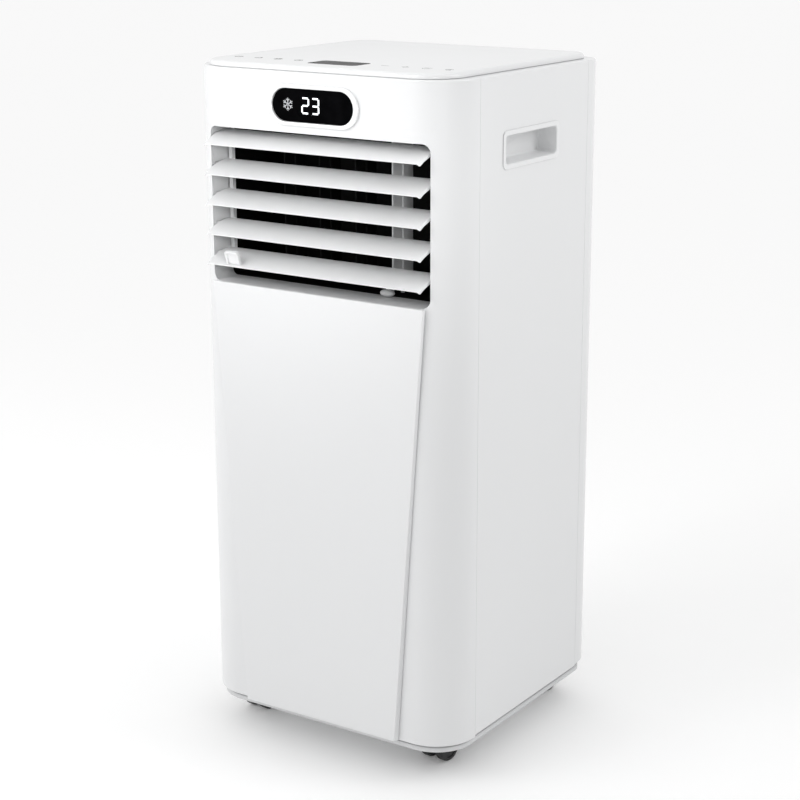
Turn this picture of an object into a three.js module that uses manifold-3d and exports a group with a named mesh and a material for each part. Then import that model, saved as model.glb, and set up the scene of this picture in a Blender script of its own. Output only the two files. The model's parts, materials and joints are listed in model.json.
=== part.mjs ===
// Portable air conditioner on four swivel casters.
// Millimetres. X is to the right seen from the front, Y runs to the rear, Z is up.
// The origin is on the floor under the middle of the cabinet.
import * as THREE from 'three';
import { mergeVertices } from 'three/addons/utils/BufferGeometryUtils.js';
import Module from 'manifold-3d';

const wasm = await Module();
wasm.setup();

// ---- driving dimensions -------------------------------------------------
const bodyWidth = 308;
const bodyDepth = 288;
const bodyHeight = 700;
const frontCornerRadius = 45;
const rearCornerRadius = 28;
const wall = 2.5;
const gap = 0.3;

const wheelRadius = 16;
const wheelClearance = 3;
const trayHeight = 35;
const trayLip = 8.5;
const sidePanelLift = 2.5;
const rearShellLift = 4;
const frontShellDepth = 47;
const rearShellDepth = 36;
const seamWidth = 0.5;

const coverHeight = 5.2;
const coverSideInset = 11;
const coverFrontInset = 0.8;
const coverRearInset = 7;
const coverFrontRadius = 37;
const coverRearRadius = 25;
const coverEdge = 4;
const ledgeWidth = 22;
const ledgeThickness = 3;
const shoulderRadius = 2;

const openingWidth = 255;
const openingHeight = 152.3;
const openingBelowTop = 63.2;
const openingRadius = 8;
const ductRadius = 6;
const ductHeadroom = 15.5;
const surroundDepth = 34;
const ductDepth = 132;

const bladeCount = 5;
const bladeTopMargin = 9.3;
const bladeBottomMargin = 25.4;
const bladeEndClearance = 2;
const bladePivotDepth = 12;
const bladeFrontChord = 23;
const bladeRearChord = 12.7;
const bladeTilt = THREE.MathUtils.degToRad(18.7);
const bladePin = 2;
const linkArm = 18.6;
const linkBarWidth = 4.6;
const linkBarDepth = 5;
const linkPin = 1.2;

const vaneCount = 4;
const vanePitch = 42.3;
const vaneFrontDepth = 36;
const vaneChord = 35;
const vaneThickness = 1.6;

const displayWidth = 105;
const displayHeight = 39;
const displayBelowTop = 36.7;
const glassWidth = 94;
const glassHeight = 31.5;
const displayProud = 3;

const windowWidth = 57;
const windowDepth = 32;
const windowFront = 26;

const gripWidth = 105.6;
const gripHeight = 36.4;
const gripCentreY = -3.8;
const gripBelowTop = 76.8;
const gripDepth = 20;
const gripRim = 5;

const trimTopHalfWidth = 124;
const trimBottomHalfWidth = 92;
const trimTopProud = 3;
const trimBottomProud = 6;
const trimBevel = 2;

const wheelWidth = 10;
const wheelSpacing = 18.6;
const casterTrail = 14;
const casterInsetLeft = 25.2;
const casterInsetRight = 54.6;
const casterFrontInset = 51.5;
const casterRearInset = 30;
const casterParking = THREE.MathUtils.degToRad(-2.4);

const blowerRadius = 75;
const blowerDepth = 38;
const scrollDepth = 46;
const scrollGrowth = 26;
const upperBlowerDrop = 94.2;
const upperScrollFront = -60;
const lowerBlowerZ = 172;
const lowerScrollFront = 8;

const coilHalfWidth = 120;
const coilFront = 70;
const coilThickness = 28;

const exhaustRadius = 61;
const exhaustZ = 345;
const exhaustProud = 13.7;

const compressorX = -84;
const compressorY = -74;
const compressorRadius = 50;

// ---- values worked out from them ----------------------------------------
const trayBottom = 2 * wheelRadius + wheelClearance;
const frontShellBottom = trayBottom + trayLip;
const sidePanelBottom = frontShellBottom + sidePanelLift;
const rearShellBottom = frontShellBottom + rearShellLift;
const openingTop = bodyHeight - openingBelowTop;
const openingBottom = openingTop - openingHeight;
const displayCentre = bodyHeight - displayBelowTop;
const gripCentreZ = bodyHeight - gripBelowTop;
const halfWidth = bodyWidth / 2;
const frontY = -bodyDepth / 2;
const rearY = bodyDepth / 2;
const seamFrontY = frontY + frontShellDepth;
const seamRearY = rearY - rearShellDepth;
const ledgeTop = bodyHeight - coverHeight - gap;
const ductHalfWidth = openingWidth / 2 + gap;
const ductFloor = openingBottom - gap;
const ductCeiling = openingTop + ductHeadroom;
const upperBlowerZ = ductFloor - upperBlowerDrop;
const bladeTopPivot = openingTop - bladeTopMargin;
const bladePitch = (openingHeight - bladeTopMargin - bladeBottomMargin) / (bladeCount - 1);
const bladeLength = openingWidth - 2 * bladeEndClearance;
const bladePivotY = frontY + bladePivotDepth;
const linkPinY = bladePivotY + linkArm;
const trayInset = 4;
const trayFloor = trayBottom + 3.5;

// ---- finishes -----------------------------------------------------------
const finish = (color, roughness, metalness = 0) =>
  new THREE.MeshStandardMaterial({ color, roughness, metalness, flatShading: true });
const whiteGloss = finish(0xeff0f1, 0.25);
const whiteSatin = finish(0xe4e5e6, 0.45);
const trayGrey = finish(0xb4b6b8, 0.5);
const blackGloss = finish(0x060607, 0.08);
const darkPlastic = finish(0x141416, 0.6);
const blackRubber = finish(0x1a1a1b, 0.8);
const silverTrim = finish(0xd3d5d6, 0.3, 0.4);
const steel = finish(0x9fa3a6, 0.4, 0.9);
const blackPaint = finish(0x101112, 0.35, 0.3);
const aluminium = finish(0xb9bcbf, 0.45, 0.9);
const copper = finish(0xb26b3c, 0.35, 0.9);
const boardGreen = finish(0x1f5b38, 0.6);
const dampingFoam = finish(0xd9dadb, 0.9);

// ---- solids -------------------------------------------------------------
const part = new THREE.Group();

function solid(geometry) {
  const bare = geometry.clone();
  bare.deleteAttribute('normal');
  bare.deleteAttribute('uv');
  const merged = mergeVertices(bare, 1e-4);
  const triVerts = [];
  const index = merged.index.array;
  for (let i = 0; i < index.length; i += 3) {
    const [a, b, c] = [index[i], index[i + 1], index[i + 2]];
    if (a !== b && b !== c && c !== a) triVerts.push(a, b, c);
  }
  return new wasm.Manifold(new wasm.Mesh({
    numProp: 3,
    vertProperties: new Float32Array(merged.attributes.position.array),
    triVerts: new Uint32Array(triVerts),
  }));
}

const join = (first, ...others) => others.reduce((sum, next) => sum.add(next), first);
const cut = (first, ...others) => others.reduce((rest, next) => rest.subtract(next), first);

function place(name, shape, material, parent = part) {
  const made = shape.getMesh();
  const geometry = new THREE.BufferGeometry();
  geometry.setAttribute('position', new THREE.BufferAttribute(made.vertProperties, 3));
  geometry.setIndex(new THREE.BufferAttribute(made.triVerts, 1));
  geometry.computeVertexNormals();
  const mesh = new THREE.Mesh(geometry, material);
  mesh.name = name;
  parent.add(mesh);
  return mesh;
}

// A rectangle with one radius per corner: low-low, high-low, high-high, low-high.
function roundedRect(x0, x1, y0, y1, radii) {
  const [a, b, c, d] = Array.isArray(radii) ? radii : [radii, radii, radii, radii];
  const shape = new THREE.Shape();
  shape.moveTo(x0 + a, y0);
  shape.lineTo(x1 - b, y0);
  shape.absarc(x1 - b, y0 + b, b, -Math.PI / 2, 0);
  shape.lineTo(x1, y1 - c);
  shape.absarc(x1 - c, y1 - c, c, 0, Math.PI / 2);
  shape.lineTo(x0 + d, y1);
  shape.absarc(x0 + d, y1 - d, d, Math.PI / 2, Math.PI);
  shape.lineTo(x0, y0 + a);
  shape.absarc(x0 + a, y0 + a, a, Math.PI, Math.PI * 1.5);
  return shape;
}

const centredRect = (width, height, radius, x = 0, y = 0) =>
  roundedRect(x - width / 2, x + width / 2, y - height / 2, y + height / 2, radius);

function extruded(shape, depth, steps) {
  return new THREE.ExtrudeGeometry(shape, { depth, bevelEnabled: false, curveSegments: steps });
}

// Prisms along each axis; the shape is drawn in the two axes that are left, in X, Y, Z order.
const prismZ = (shape, z0, z1, steps = 6) =>
  solid(extruded(shape, z1 - z0, steps).translate(0, 0, z0));
const prismY = (shape, y0, y1, steps = 3) =>
  solid(extruded(shape, y1 - y0, steps).rotateX(Math.PI / 2).translate(0, y1, 0));
const turnToX = new THREE.Matrix4().set(0, 0, 1, 0, 1, 0, 0, 0, 0, 1, 0, 0, 0, 0, 0, 1);
const prismX = (shape, x0, x1, steps = 3) =>
  solid(extruded(shape, x1 - x0, steps).applyMatrix4(turnToX).translate(x0, 0, 0));

const block = (x0, x1, y0, y1, z0, z1) =>
  solid(new THREE.BoxGeometry(x1 - x0, y1 - y0, z1 - z0)
    .translate((x0 + x1) / 2, (y0 + y1) / 2, (z0 + z1) / 2));

const rodZ = (radius, x, y, z0, z1, sides = 16) =>
  solid(new THREE.CylinderGeometry(radius, radius, z1 - z0, sides)
    .rotateX(Math.PI / 2).translate(x, y, (z0 + z1) / 2));
const rodY = (radius, x, z, y0, y1, sides = 16) =>
  solid(new THREE.CylinderGeometry(radius, radius, y1 - y0, sides)
    .translate(x, (y0 + y1) / 2, z));
const rodX = (radius, y, z, x0, x1, sides = 16) =>
  solid(new THREE.CylinderGeometry(radius, radius, x1 - x0, sides)
    .rotateZ(Math.PI / 2).translate((x0 + x1) / 2, y, z));

const tubeAlong = (points, radius, steps, sides = 8) => {
  const ring = new THREE.Shape();
  ring.absarc(0, 0, radius, 0, Math.PI * 2);
  const path = new THREE.CatmullRomCurve3(points.map((p) => new THREE.Vector3(...p)));
  return solid(new THREE.ExtrudeGeometry(ring, {
    steps, bevelEnabled: false, extrudePath: path, curveSegments: sides / 2,
  }));
};

// ---- casing -------------------------------------------------------------
const outline = (inset) => {
  const front = frontCornerRadius - inset;
  const rear = rearCornerRadius - inset;
  return roundedRect(-halfWidth + inset, halfWidth - inset, frontY + inset, rearY - inset,
    [front, front, rear, rear]);
};

// A prism whose top edge is rounded; its lower end runs past z0 and is cut off there.
function roundedTopPrism(shape, z0, z1, edge, steps = 2) {
  const geometry = new THREE.ExtrudeGeometry(shape, {
    depth: z1 - z0, bevelEnabled: true, bevelThickness: edge, bevelSize: edge,
    bevelOffset: -edge, bevelSegments: steps, curveSegments: 6,
  }).translate(0, 0, z0 - edge);
  const far = bodyWidth + bodyDepth;
  return cut(solid(geometry), block(-far, far, -far, far, z0 - 3 * edge, z0));
}

const casing = cut(
  roundedTopPrism(outline(0), frontShellBottom, ledgeTop, shoulderRadius),
  prismZ(outline(wall), 0, ledgeTop - ledgeThickness),
  prismZ(outline(ledgeWidth), 0, bodyHeight));

const slab = (x0, x1, y0, y1, bottom) => block(x0, x1, y0, y1, bottom, bodyHeight);

function displayPlate(width, height, y0, y1) {
  return prismY(centredRect(width, height, height / 2 - 0.01, 0, displayCentre), y0, y1, 5);
}
const neckWidth = displayWidth - 4;
const neckHeight = displayHeight - 4;

function makeFrontShell() {
  const opening = roundedRect(-openingWidth / 2, openingWidth / 2, openingBottom, openingTop,
    openingRadius);
  const shell = casing.intersect(
    slab(-bodyWidth, bodyWidth, -bodyDepth, seamFrontY - seamWidth / 2, frontShellBottom));
  return cut(shell,
    prismY(opening, frontY - 1, frontY + surroundDepth / 2),
    displayPlate(neckWidth, neckHeight, frontY - 1, frontY + wall + 1));
}
place('front_shell', makeFrontShell(), whiteGloss);

// The trim panel stands further out towards the floor and narrows as it goes down.
function makeTrimPanel() {
  const back = frontY - gap;
  const corners = [];
  for (const [half, proud, z] of [
    [trimBottomHalfWidth, trimBottomProud, frontShellBottom],
    [trimTopHalfWidth, trimTopProud, openingBottom]]) {
    const side = trimBevel * (proud / trimBottomProud);
    corners.push([-half - side, back, z], [half + side, back, z],
      [half, frontY - proud, z], [-half, frontY - proud, z]);
  }
  const geometry = new THREE.BufferGeometry();
  geometry.setAttribute('position', new THREE.Float32BufferAttribute(corners.flat(), 3));
  geometry.setIndex([
    0, 1, 2, 0, 2, 3, 4, 6, 5, 4, 7, 6, 0, 5, 1, 0, 4, 5,
    1, 6, 2, 1, 5, 6, 2, 7, 3, 2, 6, 7, 3, 4, 0, 3, 7, 4]);
  return solid(geometry);
}
place('lower_front_panel', makeTrimPanel(), whiteGloss);

const gripPlate = (inset, x0, x1, radius) =>
  prismX(centredRect(gripWidth - 2 * inset, gripHeight - 2 * inset, radius,
    gripCentreY, gripCentreZ), x0, x1, 3);

const panelRegion = slab(0, bodyWidth, seamFrontY + seamWidth / 2, seamRearY - seamWidth / 2,
  sidePanelBottom);
const rightPanel = cut(casing.intersect(panelRegion),
  gripPlate(gripRim / 4, halfWidth - gripDepth, halfWidth + 1, 5));
const rightGrip = cut(
  join(gripPlate(0, halfWidth + gap, halfWidth + gap + 0.7, 6),
    gripPlate(gripRim / 4 + gap, halfWidth - gripDepth - 2, halfWidth + gap + 0.1, 5)),
  gripPlate(gripRim, halfWidth - gripDepth, halfWidth + 3, 4));
for (const [side, turn] of [['right', 1], ['left', -1]]) {
  const mirror = (shape) => (turn > 0 ? shape : shape.mirror([1, 0, 0]));
  place(`side_panel_${side}`, mirror(rightPanel), whiteGloss);
  place(`grip_cup_${side}`, mirror(rightGrip), whiteSatin);
}

const coverOutline = roundedRect(-halfWidth + coverSideInset, halfWidth - coverSideInset,
  frontY + coverFrontInset, rearY - coverRearInset,
  [coverFrontRadius, coverFrontRadius, coverRearRadius, coverRearRadius]);
const windowOutline = (inset) => roundedRect(-windowWidth / 2 + inset, windowWidth / 2 - inset,
  frontY + windowFront + inset, frontY + windowFront + windowDepth - inset, 6 - inset);
const skirtTop = ledgeTop + gap;
const windowSink = 1.6;
place('top_cover', cut(
  join(roundedTopPrism(coverOutline, skirtTop, bodyHeight, coverEdge),
    cut(prismZ(outline(ledgeWidth + gap), skirtTop - 9, skirtTop + 1),
      prismZ(outline(ledgeWidth + gap + wall), skirtTop - 10, skirtTop))),
  prismZ(windowOutline(0), bodyHeight - windowSink, bodyHeight + 1, 3)), whiteGloss);
place('top_display_window',
  prismZ(windowOutline(gap), bodyHeight - windowSink + gap, bodyHeight, 3), blackGloss);

// ---- rear shell and what it carries --------------------------------------
const filterHalfWidth = 112;
const filterFrames = {
  upper: { low: 440, high: 654 },
  lower: { low: 78, high: 262 },
};
const filterPlate = ({ low, high }, inset, y0, y1) =>
  prismY(roundedRect(-filterHalfWidth + inset, filterHalfWidth - inset, low + inset,
    high - inset, 8 - inset), y0, y1, 3);
const drainHole = 9;
const drainSpout = 5.8;
const drains = { lower: { x: -90, z: 60 }, upper: { x: -98, z: 424 } };
const gland = { x: 118, z: 300, radius: 7 };

const rearHoles = [
  ...Object.values(filterFrames).map((frame) => filterPlate(frame, 0, rearY - 5, rearY + 1)),
  ...Object.values(drains).map(({ x, z }) => rodY(drainHole, x, z, rearY - 5, rearY + 1)),
  rodY(exhaustRadius + wall + gap, 0, exhaustZ, rearY - 5, rearY + 1, 36),
  rodY(gland.radius, gland.x, gland.z, rearY - 5, rearY + 1),
];
place('rear_shell', cut(
  casing.intersect(slab(-bodyWidth, bodyWidth, seamRearY + seamWidth / 2, bodyDepth,
    rearShellBottom)), ...rearHoles), whiteGloss);

const slatPitch = 9;
const slotHeight = 5;
const frameBorder = 12;
for (const [name, frame] of Object.entries(filterFrames)) {
  const slots = [];
  const span = frame.high - frame.low - 2 * frameBorder;
  const count = Math.floor(span / slatPitch);
  const first = (frame.low + frame.high) / 2 - (count - 1) * slatPitch / 2;
  for (let i = 0; i < count; i += 1) {
    const z = first + i * slatPitch;
    for (const side of [-1, 1]) {
      const [near, far] = [3 * side, (filterHalfWidth - frameBorder) * side];
      slots.push(block(Math.min(near, far), Math.max(near, far), rearY - 9, rearY + 2,
        z - slotHeight / 2, z + slotHeight / 2));
    }
  }
  place(`${name}_filter_frame`, cut(filterPlate(frame, gap, rearY - 3.5, rearY + 0.6),
    ...slots), whiteSatin);
}

for (const [name, { x, z }] of Object.entries(drains)) {
  place(`drain_cap_${name}`, join(
    rodY(drainHole + 2, x, z, rearY + gap, rearY + 4.5),
    rodY(drainSpout - gap, x, z, rearY - 10, rearY + gap + 0.1, 16)), blackRubber);
}

place('cord_gland', cut(
  join(rodY(gland.radius + 3, gland.x, gland.z, rearY + gap, rearY + 6),
    rodY(gland.radius - gap, gland.x, gland.z, rearY - 5, rearY + gap + 0.1)),
  rodY(4, gland.x, gland.z, rearY - 6, rearY + 7, 16)), darkPlastic);

// ---- front display --------------------------------------------------------
const lensSink = 1.7;
const lensThickness = 1.8;
const lensFront = frontY - displayProud + lensSink;
place('display_bezel', cut(
  join(displayPlate(displayWidth, displayHeight, frontY - displayProud, frontY - gap),
    displayPlate(neckWidth - 2 * gap, neckHeight - 2 * gap, frontY - gap - 0.1,
      frontY + wall - 0.2)),
  displayPlate(glassWidth, glassHeight, frontY - displayProud - 1,
    lensFront + lensThickness + gap),
  displayPlate(glassWidth - 4, glassHeight - 4, frontY - displayProud - 1, frontY + wall + 1)),
silverTrim);
place('display_lens', displayPlate(glassWidth - 2 * gap, glassHeight - 2 * gap, lensFront,
  lensFront + lensThickness), blackGloss);

// ---- louvre outlet --------------------------------------------------------
const ductOutline = (grow) => roundedRect(-ductHalfWidth - grow, ductHalfWidth + grow,
  ductFloor - grow, ductCeiling + grow, ductRadius + grow);
const surroundRear = frontY + surroundDepth;
const pinHoles = [];
const bladePivots = [];
for (let i = 0; i < bladeCount; i += 1) {
  bladePivots.push(bladeTopPivot - i * bladePitch);
  pinHoles.push(rodX(bladePin + gap, bladePivotY, bladePivots[i], -halfWidth, halfWidth, 10));
}
place('louvre_surround', cut(
  prismY(ductOutline(wall), frontY, surroundRear).intersect(
    prismZ(outline(wall + gap), 0, bodyHeight)),
  prismY(ductOutline(0), frontY - 1, surroundRear + 1), ...pinHoles), whiteSatin);

function bladeProfile() {
  const shape = new THREE.Shape();
  const tip = 0.6;
  const tail = 0.5;
  shape.moveTo(-bladeFrontChord, -tip);
  shape.quadraticCurveTo(-bladeFrontChord / 4, -0.7, bladeRearChord, -tail);
  shape.lineTo(bladeRearChord, tail);
  shape.quadraticCurveTo(-bladeFrontChord / 4, 4.2, -bladeFrontChord, tip);
  return shape;
}

const linkPinAngle = -bladeTilt;
const linkX = -bladeLength / 2 + linkBarWidth / 2;
const lugX = linkX + linkBarWidth / 2 + 0.5;
function makeBlade() {
  const pinY = linkArm * Math.cos(linkPinAngle);
  const pinZ = linkArm * Math.sin(linkPinAngle);
  const lug = new THREE.Shape();
  lug.moveTo(4, 1);
  lug.lineTo(4, -0.6);
  lug.lineTo(pinY - 2.2, pinZ - 1.6);
  lug.lineTo(pinY + 2.2, pinZ - 1.6);
  lug.lineTo(pinY + 2.2, pinZ + 2.2);
  return join(prismX(bladeProfile(), -bladeLength / 2, bladeLength / 2, 5),
    rodX(bladePin, 0, 0, -ductHalfWidth - wall, ductHalfWidth + wall, 10),
    prismX(lug, lugX, lugX + 2),
    rodX(linkPin, pinY, pinZ, linkX - linkBarWidth / 2, lugX + 1, 8));
}
const blade = makeBlade();
const bladeMeshes = bladePivots.map((z, i) => {
  const mesh = place(`louvre_blade_${i + 1}`, blade, whiteSatin);
  mesh.position.set(0, bladePivotY, z);
  mesh.rotation.x = bladeTilt;
  return mesh;
});

const linkEnd = 4;
place('louvre_link_bar', cut(
  block(linkX - linkBarWidth / 2, linkX + linkBarWidth / 2,
    linkPinY - linkBarDepth / 2, linkPinY + linkBarDepth / 2,
    bladePivots[bladeCount - 1] - linkEnd, bladePivots[0] + linkEnd),
  ...bladePivots.map((z) => rodX(linkPin + gap, linkPinY, z,
    linkX - linkBarWidth, linkX + linkBarWidth, 8))), whiteSatin);

// The grip tab stands on the lowest blade, near its front edge and left end.
const tabWidth = 16.5;
const tabHeight = 14;
const tabFromEnd = 32.5;
const tabX = -bladeLength / 2 + tabFromEnd;
const tabChord = -20;
const tabThickness = 3.6;
const tabBase = 1.65;
const tab = prismY(roundedRect(tabX - tabWidth / 2, tabX + tabWidth / 2, tabBase,
  tabBase + tabHeight, [0.5, 0.5, 3.2, 3.2]), tabChord - tabThickness / 2, tabChord + tabThickness / 2);
const tabDish = prismY(roundedRect(tabX - tabWidth / 2 + 2.2, tabX + tabWidth / 2 - 2.2,
  tabBase - 1, tabBase + tabHeight - 2.4, [0.5, 0.5, 1.5, 1.5]),
tabChord - tabThickness, tabChord - tabThickness / 2 + 1.6);
const tabMesh = place('louvre_grip_tab', cut(tab, tabDish), whiteSatin);
tabMesh.position.copy(bladeMeshes[bladeCount - 1].position);
tabMesh.rotation.copy(bladeMeshes[bladeCount - 1].rotation);

const vanePivotY = frontY + vaneFrontDepth + vaneChord / 2 + 1;
const vaneXs = [];
for (let i = 0; i < vaneCount; i += 1) vaneXs.push((i - (vaneCount - 1) / 2) * vanePitch);
const vaneBottom = ductFloor + 10;
const vaneTop = ductCeiling - 2;
const vanePinDepth = wall + gap;
const vaneLinkY = vanePivotY + vaneChord * 0.38;
const vaneLinkZ = ductFloor + 4;
const vaneLinkHeight = 3;
for (let i = 0; i < vaneCount; i += 1) {
  const x = vaneXs[i];
  const lead = i === vaneCount - 1;
  place(`vertical_vane_${i + 1}`, join(
    prismZ(centredRect(vaneThickness, vaneChord, vaneThickness / 2 - 0.05, x, vanePivotY),
      vaneBottom, vaneTop, 1),
    rodZ(2, x, vanePivotY, ductFloor - vanePinDepth + gap, ductCeiling + vanePinDepth - gap, 10),
    rodZ(linkPin, x, vaneLinkY, vaneLinkZ - 0.5, vaneBottom + 1, 8)),
  lead ? whiteSatin : darkPlastic);
}
place('vane_link_bar', cut(
  block(vaneXs[0] - 4, vaneXs[vaneCount - 1] + 4, vaneLinkY - 2.5, vaneLinkY + 2.5,
    vaneLinkZ, vaneLinkZ + vaneLinkHeight),
  ...vaneXs.map((x) => rodZ(linkPin + gap, x, vaneLinkY, vaneLinkZ - 1,
    vaneLinkZ + vaneLinkHeight + 1, 8))), darkPlastic);

const knobStemX = vaneXs[vaneCount - 1];
const knobX = knobStemX + 0.5;
const knobY = vanePivotY - vaneChord / 2 - 9.5;
const knobZ = ductFloor + 4.3;
const knobStemEnd = vanePivotY - vaneChord / 2 - gap;
place('vane_grip_knob', join(
  solid(new THREE.SphereGeometry(1, 16, 10).scale(8, 5, 3.4).translate(knobX, knobY, knobZ)),
  block(knobStemX - 2, knobStemX + 2, knobY, knobStemEnd, knobZ - 1, vaneBottom + 3)), whiteSatin);

// ---- blower scrolls ---------------------------------------------------------
// Anticlockwise seen from the front: the casing opens from the throat round to the outlet,
// which points up on the right.
const throatAngle = THREE.MathUtils.degToRad(52);
const scrollStart = blowerRadius + 7;
function scrollShape(centreZ, outletZ, inset) {
  const shape = new THREE.Shape();
  const outerX = scrollStart + scrollGrowth - inset;
  shape.moveTo(outerX, outletZ);
  shape.lineTo(outerX, centreZ);
  const steps = 15;
  for (let i = 1; i <= steps; i += 1) {
    const angle = Math.PI * 2 - (Math.PI * 2 - throatAngle) * (i / steps);
    const radius = scrollStart + scrollGrowth * (1 - i / steps) - inset;
    shape.lineTo(radius * Math.cos(angle), centreZ + radius * Math.sin(angle));
  }
  shape.lineTo(scrollStart * Math.cos(throatAngle) - 3 + inset, outletZ);
  return shape;
}
const outletLeft = scrollStart * Math.cos(throatAngle) - 3;
const outletRight = scrollStart + scrollGrowth;

function makeScroll(centreZ, frontOfScroll, outletZ) {
  const rear = frontOfScroll + scrollDepth;
  const inner = scrollShape(centreZ, outletZ + 1, 2);
  return cut(prismY(scrollShape(centreZ, outletZ, 0), frontOfScroll, rear),
    prismY(inner, frontOfScroll + 2, rear - 2),
    rodY(blowerRadius - 12, 0, centreZ, rear - 5, rear + 1, 24),
    rodY(9, 0, centreZ, frontOfScroll - 1, frontOfScroll + 5));
}

function makeWheel(centreZ, frontOfScroll) {
  const front = frontOfScroll + 4;
  const rear = front + blowerDepth;
  const plate = 1.6;
  const bladeWidth = 12;
  const count = 12;
  const blades = [];
  for (let i = 0; i < count; i += 1) {
    const geometry = new THREE.BoxGeometry(bladeWidth, blowerDepth - plate, 1.2)
      .rotateY(THREE.MathUtils.degToRad(35))
      .translate(blowerRadius - bladeWidth / 2 - 1, (front + rear + plate) / 2 - 0.2, 0)
      .rotateY(i * Math.PI * 2 / count)
      .translate(0, 0, centreZ);
    blades.push(solid(geometry));
  }
  const ring = cut(rodY(blowerRadius, 0, centreZ, rear - plate, rear, 24),
    rodY(blowerRadius - bladeWidth, 0, centreZ, rear - plate - 1, rear + 1, 24));
  return cut(join(rodY(blowerRadius, 0, centreZ, front, front + plate, 24),
    rodY(12, 0, centreZ, front, front + 20), ring, ...blades),
  rodY(4 + gap, 0, centreZ, front - 1, rear + 1, 16));
}

function makeMotor(centreZ, frontOfScroll, radius, length) {
  const rear = frontOfScroll - gap;
  return join(rodY(radius, 0, centreZ, rear - length, rear - 6, 24),
    rodY(radius * 0.45, 0, centreZ, rear - 6.1, rear, 16),
    rodY(radius * 0.4, 0, centreZ, rear - length - 4, rear - length + 0.1, 16),
    rodY(4, 0, centreZ, rear - 1, frontOfScroll + 22, 12));
}

const upperOutletZ = ductFloor - wall - gap;
place('upper_blower_scroll', makeScroll(upperBlowerZ, upperScrollFront, upperOutletZ), darkPlastic);
place('upper_blower_wheel', makeWheel(upperBlowerZ, upperScrollFront), darkPlastic);
place('upper_fan_motor', makeMotor(upperBlowerZ, upperScrollFront, 36, 42), steel);

const plenumBottom = lowerBlowerZ + scrollStart + 12;
const plenumTop = exhaustZ + exhaustRadius + 6;
place('lower_blower_scroll', makeScroll(lowerBlowerZ, lowerScrollFront, plenumBottom - gap),
  darkPlastic);
place('lower_blower_wheel', makeWheel(lowerBlowerZ, lowerScrollFront), darkPlastic);
place('lower_fan_motor', makeMotor(lowerBlowerZ, lowerScrollFront, 38, 40), steel);

// The air duct takes the scroll's outlet through its floor and feeds the louvres.
const ductRear = frontY + ductDepth;
const vanePinHoles = vaneXs.map((x) =>
  rodZ(2 + gap, x, vanePivotY, ductFloor - wall - 1, ductCeiling + wall + 1, 10));
place('air_duct', cut(
  prismY(ductOutline(wall), surroundRear + gap, ductRear),
  prismY(ductOutline(0), surroundRear, ductRear - wall),
  block(outletLeft + 2, outletRight - 2, upperScrollFront + 2, upperScrollFront + scrollDepth - 2,
    ductFloor - wall - 1, ductFloor + 1), ...vanePinHoles), darkPlastic);

const motorX = -ductHalfWidth - wall - gap;
place('louvre_motor', join(
  rodX(12, frontY + 45, bladePivots[2], motorX - 17, motorX),
  block(motorX - 3, motorX, frontY + 40, frontY + 50, bladePivots[2] - 17, bladePivots[2] + 17)),
steel);

// ---- exhaust ------------------------------------------------------------------
const plenumLeft = -exhaustRadius - 12;
const collarRear = rearY + exhaustProud;
const plenumRear = rearY - wall - 1;
place('exhaust_duct', cut(
  join(block(plenumLeft, outletRight, lowerScrollFront, plenumRear, plenumBottom, plenumTop),
    rodY(exhaustRadius + wall, 0, exhaustZ, plenumRear - 1, collarRear, 36)),
  block(plenumLeft + wall, outletRight - wall, lowerScrollFront + wall, plenumRear - wall,
    plenumBottom + wall, plenumTop - wall),
  rodY(exhaustRadius, 0, exhaustZ, plenumRear - wall - 1, collarRear + 1, 36),
  block(outletLeft + 2, outletRight - 2, lowerScrollFront + wall,
    lowerScrollFront + scrollDepth - 2, plenumBottom - 1, plenumBottom + wall + 1)), whiteSatin);

// ---- coils, trough and deck ---------------------------------------------------
function makeCoil(low, high) {
  const rear = coilFront + coilThickness;
  const slab0 = block(-coilHalfWidth, coilHalfWidth, coilFront, rear, low, high);
  const bends = [];
  const count = 4;
  for (let i = 0; i < count; i += 1) {
    const z = low + (high - low) * (i + 0.5) / count;
    bends.push(block(coilHalfWidth - 1, coilHalfWidth + 7, coilFront + 6, rear - 6, z - 14, z + 14));
  }
  return join(slab0, ...bends);
}
const evaporatorLow = 434;
place('evaporator_coil', makeCoil(evaporatorLow, 648), aluminium);
place('condenser_coil', makeCoil(80, 250), aluminium);

const trough = { low: 416, high: evaporatorLow - gap, half: 126, front: 58, rear: 112 };
place('condensate_trough', cut(
  join(block(-trough.half, trough.half, trough.front, trough.rear, trough.low, trough.high),
    rodY(drainSpout + 2.2, drains.upper.x, drains.upper.z, trough.rear - 1, rearY - 0.5, 20)),
  block(-trough.half + 2, trough.half - 2, trough.front + 2, trough.rear - 2,
    trough.low + 2, trough.high + 1),
  rodY(drainSpout, drains.upper.x, drains.upper.z, trough.rear - 3, rearY + 1, 20)), dampingFoam);

const deckTop = upperBlowerZ - scrollStart - scrollGrowth - 1;
const deckRear = -6;
place('middle_deck', cut(
  prismZ(outline(wall + 1), deckTop - 3, deckTop),
  block(-bodyWidth, bodyWidth, deckRear, bodyDepth, deckTop - 4, deckTop + 1)), steel);

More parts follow.
